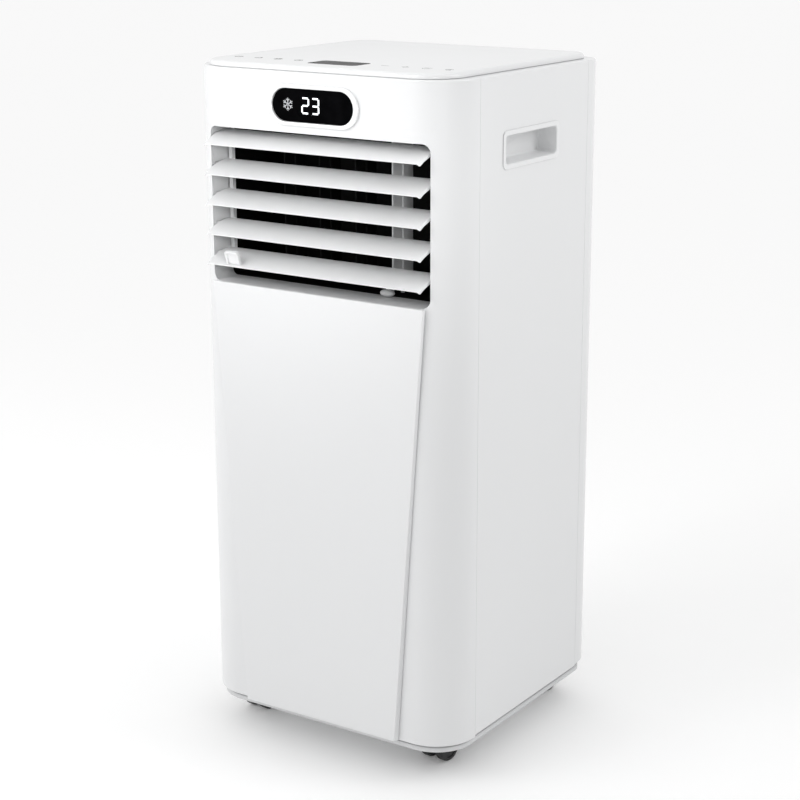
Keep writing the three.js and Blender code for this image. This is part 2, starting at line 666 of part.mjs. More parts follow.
// ---- control box ----------------------------------------------------------------
const boxHalf = 100;
const boxFront = -60;
const boxRear = 90;
const boxLow = ductCeiling + wall + gap;
const boxHigh = skirtTop - 10;
const posts = [];
for (const x of [-boxHalf + 12, boxHalf - 12]) {
  for (const y of [boxFront + 12, boxRear - 12]) {
    posts.push(rodZ(3.5, x, y, boxLow, boxLow + 6, 12));
  }
}
place('control_box', join(cut(
  block(-boxHalf, boxHalf, boxFront, boxRear, boxLow, boxHigh),
  block(-boxHalf + 1.2, boxHalf - 1.2, boxFront + 1.2, boxRear - 1.2, boxLow + 1.2, boxHigh + 1)),
...posts), steel);
const boardLow = boxLow + 6 + gap;
place('main_board', join(
  block(-boxHalf + 5, boxHalf - 5, boxFront + 5, boxRear - 5, boardLow, boardLow + 1.6),
  rodZ(15, 60, 50, boardLow + 1, boardLow + 18, 20),
  block(-70, -40, 10, 40, boardLow + 1, boardLow + 14),
  block(-10, 20, -30, 0, boardLow + 1, boardLow + 10)), boardGreen);

// ---- compressor --------------------------------------------------------------------
const grommetTop = trayFloor + gap + 16;
const baseLow = grommetTop + gap;
const compressorTop = 245;
const accumulator = { x: compressorX + 76, y: compressorY - 10, radius: 21 };
const domes = [[0, baseLow], [compressorRadius - 14, baseLow], [compressorRadius, baseLow + 12],
  [compressorRadius, compressorTop - 18], [compressorRadius - 16, compressorTop - 4],
  [0, compressorTop]];
const can = solid(new THREE.LatheGeometry(domes.map(([r, z]) => new THREE.Vector2(r, z)), 24)
  .rotateX(Math.PI / 2).translate(compressorX, compressorY, 0));
const bottleLow = 105;
const bottleTop = 225;
const bottle = solid(new THREE.LatheGeometry([[0, bottleLow], [12, bottleLow],
  [accumulator.radius, bottleLow + 14], [accumulator.radius, bottleTop - 14], [10, bottleTop],
  [0, bottleTop]].map(([r, z]) => new THREE.Vector2(r, z)), 16)
  .rotateX(Math.PI / 2).translate(accumulator.x, accumulator.y, 0));
const footCircle = 46;
const footAngles = [49, 169, 289].map(THREE.MathUtils.degToRad);
const footAt = (angle) => [compressorX + footCircle * Math.cos(angle),
  compressorY + footCircle * Math.sin(angle)];
place('compressor', join(can, bottle,
  rodZ(footCircle + 12, compressorX, compressorY, baseLow, baseLow + 3, 24),
  block(compressorX + compressorRadius - 4, accumulator.x - accumulator.radius + 3,
    accumulator.y - 6, accumulator.y + 6, 150, 162)), blackPaint);
footAngles.forEach((angle, i) => {
  const [x, y] = footAt(angle);
  place(`compressor_foot_${i + 1}`, rodZ(11, x, y, trayFloor + gap, grommetTop, 14), blackRubber);
});

place('discharge_pipe', tubeAlong([
  [compressorX, compressorY, compressorTop + gap], [compressorX, compressorY, compressorTop + 7],
  [compressorX - 6, compressorY + 12, compressorTop + 13], [-112, -32, 256], [-132, 10, 252],
  [-138, 50, 246], [-134, coilFront + 8, 238], [-coilHalfWidth - 7, coilFront + 14, 236],
  [-coilHalfWidth - 1, coilFront + 14, 236]],
3.5, 20), copper);
place('suction_pipe', tubeAlong([
  [accumulator.x, accumulator.y, bottleTop + gap], [accumulator.x, accumulator.y, bottleTop + 18],
  [accumulator.x - 14, accumulator.y + 14, 268], [-60, -30, 271], [-112, -4, 271],
  [-138, 16, 292], [-140, 30, 350], [-140, 44, 420], [-138, coilFront, 446],
  [-coilHalfWidth - 8, coilFront + 14, 450], [-coilHalfWidth - 1, coilFront + 14, 450]],
4.5, 28), copper);

// ---- base tray -----------------------------------------------------------------------
const trayStep = rearShellBottom + 1;
const trayTop = trayBottom + trayHeight;
const bossHeight = 14;
const stemRadius = 4.8;
const casterLeftX = -bodyWidth / 2 + casterInsetLeft;
const casterRightX = bodyWidth / 2 - casterInsetRight;
const casterFrontY = frontY + casterFrontInset;
const casterRearY = rearY - casterRearInset;
const casterSpots = {
  front_left: [casterLeftX, casterFrontY],
  front_right: [casterRightX, casterFrontY],
  rear_left: [casterLeftX, casterRearY],
  rear_right: [casterRightX, casterRearY],
};
const bosses = Object.values(casterSpots).map(([x, y]) =>
  rodZ(stemRadius + 4, x, y, trayFloor - 1, trayFloor + bossHeight, 12));
const stemHoles = Object.values(casterSpots).map(([x, y]) =>
  rodZ(stemRadius + gap, x, y, trayBottom - 1, trayFloor + bossHeight - 2, 10));
place('base_tray', cut(
  join(cut(
    join(prismZ(outline(trayInset), trayBottom, trayStep),
      prismZ(outline(wall + gap), trayStep, trayTop)),
    prismZ(outline(trayInset + wall), trayFloor, trayTop + 1)), ...bosses),
  ...stemHoles,
  rodY(drainSpout, drains.lower.x, drains.lower.z, rearY - 12, rearY, 16)), trayGrey);

// ---- casters ----------------------------------------------------------------------------
const forkTop = trayBottom - gap;
const forkPlate = 2.1;
const forkWeb = 7.4;
const axleRadius = 2.5;
function makeFork() {
  const web = new THREE.Shape();
  web.moveTo(-9, forkTop - forkPlate + 0.1);
  web.lineTo(-5, wheelRadius + 2);
  web.lineTo(casterTrail - 4, wheelRadius - 5);
  web.lineTo(casterTrail + 4, wheelRadius - 5);
  web.lineTo(casterTrail + 6, wheelRadius + 6);
  web.lineTo(12, forkTop - forkPlate + 0.1);
  return cut(
    join(rodZ(13, 0, 0, forkTop - forkPlate, forkTop, 20),
      rodZ(stemRadius, 0, 0, forkTop - 1, trayFloor + bossHeight - 3, 10),
      prismX(web, -forkWeb / 2, forkWeb / 2)),
    rodX(axleRadius + gap, casterTrail, wheelRadius, -forkWeb, forkWeb, 12));
}
function makeWheelPair() {
  const inner = (wheelSpacing - wheelWidth) / 2;
  const tyre = (side) => {
    const profile = [[0, -wheelWidth / 2], [wheelRadius - 1, -wheelWidth / 2],
      [wheelRadius, 0], [wheelRadius - 1, wheelWidth / 2], [0, wheelWidth / 2]];
    return solid(new THREE.LatheGeometry(profile.map(([r, z]) => new THREE.Vector2(r, z)), 28)
      .rotateZ(Math.PI / 2).translate(side * (inner + wheelWidth / 2), casterTrail, wheelRadius));
  };
  return join(tyre(-1), tyre(1), rodX(axleRadius, casterTrail, wheelRadius, -inner - 1, inner + 1, 12));
}
const fork = makeFork();
const wheelPair = makeWheelPair();
for (const [spot, [x, y]] of Object.entries(casterSpots)) {
  const caster = new THREE.Group();
  caster.position.set(x, y, 0);
  caster.rotation.z = casterParking;
  part.add(caster);
  place(`caster_fork_${spot}`, fork, darkPlastic, caster);
  place(`caster_wheels_${spot}`, wheelPair, blackRubber, caster);
}

export default part;
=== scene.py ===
import bmesh
import bpy
import json
import math
from mathutils import Matrix, Vector


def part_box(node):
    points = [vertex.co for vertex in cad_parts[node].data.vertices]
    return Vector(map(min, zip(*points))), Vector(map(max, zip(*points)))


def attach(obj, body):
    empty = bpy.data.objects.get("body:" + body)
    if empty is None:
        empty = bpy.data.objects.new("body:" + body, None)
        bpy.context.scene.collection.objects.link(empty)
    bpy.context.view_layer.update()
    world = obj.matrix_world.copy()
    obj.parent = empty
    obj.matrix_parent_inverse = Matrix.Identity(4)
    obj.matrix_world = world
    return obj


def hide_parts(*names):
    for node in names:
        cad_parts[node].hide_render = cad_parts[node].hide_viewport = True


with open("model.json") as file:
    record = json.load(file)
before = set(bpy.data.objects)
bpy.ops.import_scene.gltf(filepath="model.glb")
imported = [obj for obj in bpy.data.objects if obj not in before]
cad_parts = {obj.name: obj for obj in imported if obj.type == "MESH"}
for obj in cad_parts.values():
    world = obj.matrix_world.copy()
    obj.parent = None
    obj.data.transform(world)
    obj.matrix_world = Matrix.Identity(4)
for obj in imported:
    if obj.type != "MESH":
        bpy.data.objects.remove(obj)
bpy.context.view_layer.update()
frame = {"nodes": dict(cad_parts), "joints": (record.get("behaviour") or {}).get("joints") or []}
mm = 0.001


def boxMm(node):
    low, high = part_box(node)
    return [round(v / mm, 4) for v in low], [round(v / mm, 4) for v in high]


def centreMm(node):
    low, high = boxMm(node)
    return [(a + b) / 2 for a, b in zip(low, high)]


frontLow, frontHigh = boxMm("front_shell")
rearLow, rearHigh = boxMm("rear_shell")
sideLow, sideHigh = boxMm("side_panel_right")
halfWidth = frontHigh[0]
frontY = frontLow[1]
rearY = rearHigh[1]
ledgeTop = frontHigh[2]

viewSettings = {
    "azimuth": 33.256, "elevation": 15.481, "distance": 1.95568, "pivotHeight": 0.3509,
    "aimRight": 0.020204, "aimUp": -0.004237, "lens": 84.825, "shiftX": -0.02462, "shiftY": -0.0004,
}


def makeCamera(settings):
    turn = math.radians(settings["azimuth"])
    rise = math.radians(settings["elevation"])
    back = Vector((math.sin(turn) * math.cos(rise), -math.cos(turn) * math.cos(rise), math.sin(rise)))
    right = Vector((math.cos(turn), math.sin(turn), 0))
    up = back.cross(right)
    place = (Vector((0, 0, settings["pivotHeight"])) + back * settings["distance"]
             + right * settings["aimRight"] + up * settings["aimUp"])
    data = bpy.data.cameras.new("productCamera")
    data.lens = settings["lens"]
    data.sensor_width = 36
    data.shift_x = settings["shiftX"]
    data.shift_y = settings["shiftY"]
    data.clip_end = 100
    camera = bpy.data.objects.new("productCamera", data)
    camera.matrix_world = Matrix.Translation(place) @ Matrix((right, up, back)).transposed().to_4x4()
    bpy.context.scene.collection.objects.link(camera)
    bpy.context.scene.camera = camera


lightSettings = {
    "keyLight": {"place": (-0.75, -1.15, 1.0), "aim": (0, -0.1, 0.35), "size": 0.7,
                 "spread": 180, "power": 3.7},
    "louvreLight": {"place": (-0.3, -0.95, 1.12), "aim": (0, -0.14, 0.66), "size": 0.4,
                    "spread": 38, "power": 0.18},
    "sideLight": {"place": (1.2, 0.35, 1.3), "aim": (0.15, 0, 0.66), "size": 0.6,
                  "spread": 60, "power": 0.55},
    "fillLight": {"place": (0.75, -0.75, 0.78), "aim": (-0.127, -0.12, 0.57), "size": 0.15,
                  "spread": 26, "power": 0.08},
}
roomSettings = {
    "skyStrength": 0.93, "floorTone": 0.975, "floorGlow": 0.08, "floorSize": 300,
    "darkAzimuth": 46, "darkFrom": 0.55, "darkTo": 0.93, "darkDepth": 0.55,
}


def makeLights(lights):
    for name, spec in lights.items():
        data = bpy.data.lights.new(name, "AREA")
        data.shape = "SQUARE"
        data.size = spec["size"]
        data.spread = math.radians(spec["spread"])
        data.energy = spec["power"]
        lamp = bpy.data.objects.new(name, data)
        lamp.location = spec["place"]
        aim = Vector(spec["aim"]) - Vector(spec["place"])
        lamp.rotation_euler = aim.to_track_quat("-Z", "Y").to_euler()
        bpy.context.scene.collection.objects.link(lamp)


# A shader socket that sums and products can be written with.
class Value:
    def __init__(self, recipe, socket):
        self.recipe = recipe
        self.socket = socket

    def combine(self, operation, first, second):
        return self.recipe.add("ShaderNodeMath", {"operation": operation}, {0: first, 1: second})

    def __add__(self, other):
        return self.combine("ADD", self, other)

    def __radd__(self, other):
        return self.combine("ADD", other, self)

    def __sub__(self, other):
        return self.combine("SUBTRACT", self, other)

    def __rsub__(self, other):
        return self.combine("SUBTRACT", other, self)

    def __mul__(self, other):
        return self.combine("MULTIPLY", self, other)

    def __rmul__(self, other):
        return self.combine("MULTIPLY", other, self)

    def __truediv__(self, other):
        return self.combine("DIVIDE", self, other)

    def __rtruediv__(self, other):
        return self.combine("DIVIDE", other, self)


surfaceLabels = {
    "colour": "Base Color", "roughness": "Roughness", "metallic": "Metallic", "normal": "Normal",
    "coat": "Coat Weight", "coatRoughness": "Coat Roughness", "glow": "Emission Color",
    "glowStrength": "Emission Strength", "ior": "IOR", "specular": "Specular IOR Level",
}


class Recipe:
    def __init__(self, name, owner=None):
        self.material = owner or bpy.data.materials.new(name)
        self.material.use_nodes = True
        self.tree = self.material.node_tree
        self.shader = self.tree.nodes["Background" if owner else "Principled BSDF"]

    def add(self, kind, settings=None, inputs=None, out=0):
        node = self.tree.nodes.new(kind)
        for key, value in (settings or {}).items():
            if key == "stops":
                ramp = node.color_ramp
                while len(ramp.elements) < len(value):
                    ramp.elements.new(0.5)
                for element, (place, tone) in zip(ramp.elements, value):
                    element.position = place
                    element.color = (tone, tone, tone, 1)
            else:
                setattr(node, key, value)
        for key, value in (inputs or {}).items():
            self.feed(node.inputs[key], value)
        return Value(self, node.outputs[out])

    def feed(self, socket, value):
        if isinstance(value, Value):
            self.tree.links.new(value.socket, socket)
        elif isinstance(value, (tuple, list)) and len(value) == 3 and socket.type == "RGBA":
            socket.default_value = (*value, 1)
        else:
            socket.default_value = value

    def surface(self, **sockets):
        for name, value in sockets.items():
            self.feed(self.shader.inputs[surfaceLabels[name]], value)
        return self.material

    def place(self):
        return self.add("ShaderNodeTexCoord", out="Object")

    def noise(self, where, scale, detail=2, roughness=0.5):
        return self.add("ShaderNodeTexNoise", {}, {"Vector": where, "Scale": scale, "Detail": detail,
                                                   "Roughness": roughness}, out="Fac")

    def mixColour(self, factor, first, second):
        return self.add("ShaderNodeMix", {"data_type": "RGBA"}, {"Factor": factor, 6: first, 7: second},
                        out=2)

    def bump(self, height, strength, depth):
        return self.add("ShaderNodeBump", {}, {"Height": height, "Strength": strength, "Distance": depth},
                        out="Normal")


# Slow drift of tone, haze in the gloss, and a fine moulded grain.
def mouldedPlastic(name, spec):
    made = Recipe(name)
    where = made.place()
    drift = made.noise(where, spec.get("driftScale", 5), 2)
    grain = made.noise(where, spec["grainScale"], 3, 0.6)
    haze = made.noise(where, spec.get("hazeScale", 28), 4, 0.65)
    tone = made.mixColour(drift, spec["colour"], spec["colourTo"])
    return made.surface(
        colour=tone,
        roughness=haze * spec["hazeSpread"] + (spec["roughness"] - spec["hazeSpread"] / 2),
        normal=made.bump(grain, spec["grainStrength"], spec["grainDepth"]),
        coat=spec.get("coat", 0.0), coatRoughness=spec.get("coatRoughness", 0.06),
        ior=spec.get("ior", 1.5), specular=spec.get("specular", 0.5))


plasticSettings = {
    "glossyWhite": {
        "colour": (0.725, 0.73, 0.737), "colourTo": (0.74, 0.745, 0.75), "roughness": 0.3,
        "hazeSpread": 0.05, "grainScale": 260, "grainStrength": 0.02, "grainDepth": 0.0006,
        "coat": 0.25, "coatRoughness": 0.1},
    "satinWhite": {
        "colour": (0.74, 0.745, 0.75), "colourTo": (0.765, 0.77, 0.775), "roughness": 0.42,
        "hazeSpread": 0.08, "grainScale": 900, "grainStrength": 0.05, "grainDepth": 0.0004},
    "trayGrey": {
        "colour": (0.60, 0.605, 0.61), "colourTo": (0.64, 0.645, 0.65), "roughness": 0.5,
        "hazeSpread": 0.1, "grainScale": 1100, "grainStrength": 0.16, "grainDepth": 0.0005},
    "darkPlastic": {
        "colour": (0.008, 0.008, 0.009), "colourTo": (0.014, 0.014, 0.015), "roughness": 0.55,
        "hazeSpread": 0.16, "grainScale": 900, "grainStrength": 0.2, "grainDepth": 0.0005},
    "wheelRubber": {
        "colour": (0.014, 0.014, 0.015), "colourTo": (0.026, 0.026, 0.027), "roughness": 0.62,
        "hazeSpread": 0.22, "grainScale": 700, "grainStrength": 0.25, "grainDepth": 0.0006},
    "drainRubber": {
        "colour": (0.03, 0.03, 0.032), "colourTo": (0.045, 0.045, 0.047), "roughness": 0.7,
        "hazeSpread": 0.15, "grainScale": 800, "grainStrength": 0.2, "grainDepth": 0.0005},
    # Black duct plastic, made darker and duller than darkPlastic to paint the deep shade inside the air
    # duct.
    "ductBlack": {
        "colour": (0.0015, 0.0015, 0.0016), "colourTo": (0.003, 0.003, 0.003), "roughness": 0.6,
        "hazeSpread": 0.16, "grainScale": 900, "grainStrength": 0.2, "grainDepth": 0.0005,
        "specular": 0.12},
    "linerFoam": {
        "colour": (0.66, 0.67, 0.68), "colourTo": (0.74, 0.75, 0.75), "roughness": 0.85,
        "hazeSpread": 0.1, "grainScale": 500, "grainStrength": 0.5, "grainDepth": 0.001},
    "motorBlack": {
        "colour": (0.012, 0.012, 0.014), "colourTo": (0.022, 0.022, 0.024), "roughness": 0.38,
        "hazeSpread": 0.2, "grainScale": 320, "grainStrength": 0.18, "grainDepth": 0.0006,
        "coat": 0.3},
    "markGrey": {
        "colour": (0.05, 0.05, 0.055), "colourTo": (0.08, 0.08, 0.085), "roughness": 0.5,
        "hazeSpread": 0.1, "grainScale": 900, "grainStrength": 0.05, "grainDepth": 0.0003},
}


def blackGlass(name, spec):
    made = Recipe(name)
    smear = made.noise(made.place(), spec["smearScale"], 5, 0.7)
    film = made.add("ShaderNodeValToRGB", {"stops": [(0.45, 0), (0.75, 1)]}, {"Fac": smear})
    return made.surface(colour=made.mixColour(film, spec["colour"], spec["colourTo"]),
                        roughness=film * spec["smearSpread"] + spec["roughness"],
                        ior=spec["ior"], specular=spec["specular"])


glassSettings = {
    "displayBlack": {"colour": (0.0012, 0.0012, 0.0015), "colourTo": (0.003, 0.003, 0.0035),
                     "smearScale": 45, "smearSpread": 0.05, "roughness": 0.07, "ior": 1.3,
                     "specular": 0.02},
    "windowBlack": {"colour": (0.0012, 0.0012, 0.0015), "colourTo": (0.003, 0.003, 0.0035),
                    "smearScale": 45, "smearSpread": 0.06, "roughness": 0.2, "ior": 1.2,
                    "specular": 0.03},
}


def litMark(name, spec):
    made = Recipe(name)
    glow = made.noise(made.place(), spec["unevenScale"], 2)
    return made.surface(colour=spec["colour"], roughness=0.6,
                        glow=made.mixColour(glow, spec["glow"], spec["glowTo"]),
                        glowStrength=spec["strength"])


litSettings = {
    "litWhite": {"colour": (0.8, 0.85, 0.9), "glow": (0.9, 0.95, 1.0), "glowTo": (1, 1, 1),
                 "unevenScale": 300, "strength": 1.1},
    "litSoft": {"colour": (0.2, 0.21, 0.22), "glow": (0.9, 0.95, 1.0), "glowTo": (1, 1, 1),
                "unevenScale": 300, "strength": 0.42},
}


def metal(name, spec):
    grainShare, patinaShare, grainDepth = 0.18, 0.12, 0.0003
    made = Recipe(name)
    where = made.place()
    stretched = made.add("ShaderNodeMapping", {}, {"Vector": where, "Scale": spec["stretch"]})
    grain = made.noise(stretched, spec["grainScale"], 4, 0.7)
    patina = made.noise(where, spec["patinaScale"], 4, 0.6)
    return made.surface(
        colour=made.mixColour(patina, spec["colour"], spec["colourTo"]), metallic=spec["metallic"],
        roughness=grain * grainShare + patina * patinaShare + (
            spec["roughness"] - (grainShare + patinaShare) / 2),
        normal=made.bump(grain, spec["grainStrength"], grainDepth))


metalSettings = {
    "silverTrim": {"colour": (0.80, 0.805, 0.81), "colourTo": (0.86, 0.865, 0.87), "metallic": 0.25,
                   "stretch": (1, 1, 1), "grainScale": 700, "patinaScale": 12, "roughness": 0.24,
                   "grainStrength": 0.04},
    "sheetSteel": {"colour": (0.46, 0.47, 0.48), "colourTo": (0.56, 0.57, 0.58), "metallic": 1.0,
                   "stretch": (1, 12, 1), "grainScale": 160, "patinaScale": 30, "roughness": 0.42,
                   "grainStrength": 0.1},
    "coilAluminium": {"colour": (0.62, 0.63, 0.64), "colourTo": (0.74, 0.75, 0.76), "metallic": 1.0,
                      "stretch": (1, 1, 9), "grainScale": 220, "patinaScale": 24, "roughness": 0.4,
                      "grainStrength": 0.1},
    "pipeCopper": {"colour": (0.56, 0.24, 0.12), "colourTo": (0.38, 0.15, 0.08), "metallic": 1.0,
                   "stretch": (1, 1, 1), "grainScale": 300, "patinaScale": 40, "roughness": 0.36,
                   "grainStrength": 0.06},
}


def circuitBoard(name, spec):
    made = Recipe(name)
    where = made.place()
    traces = made.add("ShaderNodeTexBrick", {}, {
        "Vector": where, "Scale": spec["traceScale"], "Color1": spec["mask"],
        "Color2": spec["maskTo"], "Mortar": spec["copper"], "Mortar Size": spec["traceWidth"]})
    weave = made.noise(where, spec["weaveScale"], 2)
    return made.surface(colour=traces, roughness=weave * spec["weaveSpread"] + spec["roughness"])


boardSettings = {
    "boardGreen": {"traceScale": 120, "mask": (0.015, 0.09, 0.035), "maskTo": (0.02, 0.12, 0.045),
                   "copper": (0.05, 0.2, 0.09), "traceWidth": 0.03, "weaveScale": 900,
                   "weaveSpread": 0.2, "roughness": 0.4},
}

finishes = {}
for maker, table in ((mouldedPlastic, plasticSettings), (blackGlass, glassSettings),
                     (litMark, litSettings), (metal, metalSettings), (circuitBoard, boardSettings)):
    for finishName, finishSpec in table.items():
        finishes[finishName] = maker(finishName, finishSpec)
print("finishes made:", len(finishes))


def quarterTurn(steps):
    angles = [math.pi / 2 * i / steps for i in range(steps + 1)]
    return [(math.cos(angle), math.sin(angle)) for angle in angles]


def circle(x, y, radius, steps):
    angles = [2 * math.pi * i / steps for i in range(steps)]
    return [(x + radius * math.cos(angle), y + radius * math.sin(angle)) for angle in angles]


def polar(x, y, radius, degrees):
    angle = math.radians(degrees)
    return (x + radius * math.cos(angle), y + radius * math.sin(angle))


def arc(x, y, radius, start, end, steps):
    return [polar(x, y, radius, start + (end - start) * i / steps) for i in range(steps + 1)]


# Corner radii run from low x and low y round to low x and high y.
def roundedOutline(x0, x1, y0, y1, radii, steps=24):
    corners = radii if isinstance(radii, (list, tuple)) else [radii] * 4
    spots = [(x0, y0, 1, 1, 180), (x1, y0, -1, 1, 270), (x1, y1, -1, -1, 0), (x0, y1, 1, -1, 90)]
    points = []
    for (x, y, sx, sy, start), r in zip(spots, corners):
        points += arc(x + sx * r, y + sy * r, r, start, start + 90, steps)
    return points


# The outline of a box seen along one axis, drawn in by the inset.
def insetOutline(box, across, up, inset, radii, steps):
    low, high = box
    return roundedOutline(low[across] + inset, high[across] - inset, low[up] + inset,
                          high[up] - inset, radii, steps)


def centredOutline(width, height, radius, x=0, y=0, steps=12):
    return roundedOutline(x - width / 2, x + width / 2, y - height / 2, y + height / 2, radius, steps)


# Rings in millimetres are joined in order; a closed set also joins the last to the first.
def meshFromRings(name, rings, closed=False):
    build = bmesh.new()
    loops = [[build.verts.new(Vector(p) * mm) for p in ring] for ring in rings]
    pairs = list(zip(loops, loops[1:]))
    if closed:
        pairs.append((loops[-1], loops[0]))
    for first, second in pairs:
        for i in range(len(first)):
            j = (i + 1) % len(first)
            build.faces.new((first[i], first[j], second[j], second[i]))
    if not closed:
        build.faces.new(loops[0][::-1])
        build.faces.new(loops[-1])
    bmesh.ops.remove_doubles(build, verts=build.verts, dist=1e-6)
    bmesh.ops.recalc_face_normals(build, faces=build.faces)
    return newObject(name, build)


def newObject(name, build):
    mesh = bpy.data.meshes.new(name)
    build.to_mesh(mesh)
    build.free()
    made = bpy.data.objects.new(name, mesh)
    bpy.context.scene.collection.objects.link(made)
    return made


def flatZ(outline, z):
    return [(x, y, z) for x, y in outline]


def flatY(outline, y):
    return [(x, y, z) for x, z in outline]


def flatX(outline, x):
    return [(x, y, z) for y, z in outline]


def blockMesh(x0, x1, y0, y1, z0, z1):
    corners = [(x0, y0), (x1, y0), (x1, y1), (x0, y1)]
    return meshFromRings("cutter", [flatZ(corners, z0), flatZ(corners, z1)])


# Puts the result of the modifiers into the mesh.
def settle(made):
    graph = bpy.context.evaluated_depsgraph_get()
    graph.update()
    old = made.data
    mesh = bpy.data.meshes.new_from_object(made.evaluated_get(graph))
    made.modifiers.clear()
    made.data = mesh
    bpy.data.meshes.remove(old)
    return made


def carve(made, cutter, operation="DIFFERENCE"):
    step = made.modifiers.new("carve", "BOOLEAN")
    step.operation = operation
    step.object = cutter
    step.solver = "EXACT"
    settle(made)
    bpy.data.objects.remove(cutter)
    return made


def punch(made, flat, outline, start, end):
    return carve(made, meshFromRings("cutter", [flat(outline, start), flat(outline, end)]))


def soften(made, width, steps=3, angle=35):
    step = made.modifiers.new("edges", "BEVEL")
    step.width = width * mm
    step.segments = steps
    step.limit_method = "ANGLE"
    step.angle_limit = math.radians(angle)
    step.use_clamp_overlap = False
    step.miter_outer = "MITER_ARC"
    return settle(made)


def smooth(made, angle=40):
    made.data.polygons.foreach_set("use_smooth", [True] * len(made.data.polygons))
    made.data.set_sharp_from_angle(angle=math.radians(angle))
    step = made.modifiers.new("normals", "WEIGHTED_NORMAL")
    step.keep_sharp = True
    step.weight = 60
    return settle(made)


def dress(made, finish, body, replaced=()):
    made.data.materials.clear()
    made.data.materials.append(finishes[finish])
    for polygon in made.data.polygons:
        polygon.material_index = 0
    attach(made, body)
    if replaced:
        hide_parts(*replaced)
    return made


def joinMeshes(name, parts):
    build = bmesh.new()
    for part in parts:
        build.from_mesh(part.data)
        bpy.data.objects.remove(part)
    return newObject(name, build)


def turned(name, profile, steps, place, axis):
    axis = Vector(axis).normalized()
    side = axis.orthogonal().normalized()
    other = axis.cross(side)
    rings = []
    for radius, along in profile:
        ring = []
        for i in range(steps):
            angle = 2 * math.pi * i / steps
            arm = side * math.cos(angle) + other * math.sin(angle)
            ring.append(tuple(Vector(place) + axis * along + arm * radius))
        rings.append(ring)
    return meshFromRings(name, rings)


# The plain solid of a node, with softened edges.
def refined(node, name, width=0.4, steps=2, angle=35):
    source = frame["nodes"][node]
    build = bmesh.new()
    build.from_mesh(source.data)
    bmesh.ops.remove_doubles(build, verts=build.verts, dist=1e-5)
    bmesh.ops.dissolve_limit(build, angle_limit=math.radians(1), verts=build.verts, edges=build.edges)
    made = newObject(name, build)
    soften(made, width, steps, angle)
    return smooth(made, 50)


casingSettings = {
    "frontRadius": 45, "rearRadius": 28, "wall": 2.5, "shoulder": 2, "shoulderSteps": 6,
    "ledgeWidth": 22, "ledgeThickness": 3, "cornerSteps": 28, "edge": 0.35, "seamClose": 0.16,
}


def bodyOutline(inset, steps=None):
    spec = casingSettings
    front = spec["frontRadius"] - inset
    rear = spec["rearRadius"] - inset
    return roundedOutline(-halfWidth + inset, halfWidth - inset, frontY + inset, rearY - inset,
                          [front, front, rear, rear], steps or spec["cornerSteps"])


# The whole white cabinet wall, cut down to the region of one panel.
def makeCasing(name, bottom, region):
    spec = casingSettings
    r = spec["shoulder"]
    section = [(0, bottom)]
    for across, up in quarterTurn(spec["shoulderSteps"]):
        section.append((r * (1 - across), ledgeTop - r + r * up))
    section += [(spec["ledgeWidth"], ledgeTop),
                (spec["ledgeWidth"], ledgeTop - spec["ledgeThickness"]),
                (spec["wall"], ledgeTop - spec["ledgeThickness"]), (spec["wall"], bottom)]
    shell = meshFromRings(name, [flatZ(bodyOutline(inset), z) for inset, z in section], closed=True)
    return carve(shell, blockMesh(*region), "INTERSECT")


def finishCasing(shell, node):
    soften(shell, casingSettings["edge"])
    return dress(smooth(shell), "glossyWhite", "cabinet", [node])


openingSettings = {"halfWidth": 127.5, "low": 484.5, "high": 636.8, "radius": 8}
displaySettings = {
    "width": 105, "height": 39, "centre": 663.3, "glassWidth": 94, "glassHeight": 31.5,
    "neckMargin": 4, "proud": 3, "lensSink": 1.7, "lensThickness": 1.8, "rimRound": 1.1,
}


def stadium(width, height, steps=20):
    return centredOutline(width, height, height / 2 - 0.01, 0, displaySettings["centre"], steps)


def makeFrontShell():
    spec = openingSettings
    shell = makeCasing("frontShell", frontLow[2],
                       (-200, 200, frontY - 20, frontHigh[1] + casingSettings["seamClose"],
                        frontLow[2] - 10, 800))
    hole = roundedOutline(-spec["halfWidth"], spec["halfWidth"], spec["low"], spec["high"],
                          spec["radius"], 10)
    punch(shell, flatY, hole, frontY - 10, frontY + 18)
    show = displaySettings
    neck = stadium(show["width"] - show["neckMargin"], show["height"] - show["neckMargin"], 12)
    punch(shell, flatY, neck, frontY - 10, frontY + 18)
    return finishCasing(shell, "front_shell")


trimSettings = {
    "topHalf": 124, "bottomHalf": 92, "topProud": 3, "bottomProud": 6, "bevel": 2, "gap": 0.3,
    "edge": 0.7,
}


def makeTrimPanel():
    spec = trimSettings
    rings = []
    for half, proud, z in ((spec["bottomHalf"], spec["bottomProud"], frontLow[2]),
                           (spec["topHalf"], spec["topProud"], openingSettings["low"])):
        side = spec["bevel"] * proud / spec["bottomProud"]
        rings.append([(-half - side, frontY - spec["gap"], z), (half + side, frontY - spec["gap"], z),
                      (half, frontY - proud, z), (-half, frontY - proud, z)])
    panel = meshFromRings("lowerFrontPanel", rings)
    soften(panel, spec["edge"], 4, 20)
    return dress(smooth(panel), "glossyWhite", "cabinet", ["lower_front_panel"])


gripSettings = {
    "rim": 5, "depth": 20, "proud": 1.0, "gap": 0.3, "neck": 1.25, "radius": 6, "draft": 0.8,
    "floorRound": 2.2, "outerRound": 0.6, "innerRound": 0.9, "outerWall": 0.4, "roundSteps": 4,
}


def gripRing(inset, x, side):
    radius = max(1.5, gripSettings["radius"] - inset * 0.5)
    return flatX(insetOutline(boxMm("grip_cup_right"), 1, 2, inset, radius, 8), side * x)


def makeSidePanel(side, word):
    seam = casingSettings["seamClose"]
    panel = makeCasing("sidePanel" + word, sideLow[2],
                       (*sorted((side * 20, side * 200)), sideLow[1] - seam, sideHigh[1] + seam,
                        sideLow[2] - 10, 800))
    neck = gripSettings["neck"]
    carve(panel, meshFromRings("cutter", [gripRing(neck, 120, side), gripRing(neck, 170, side)]))
    return finishCasing(panel, "side_panel_" + word.lower())


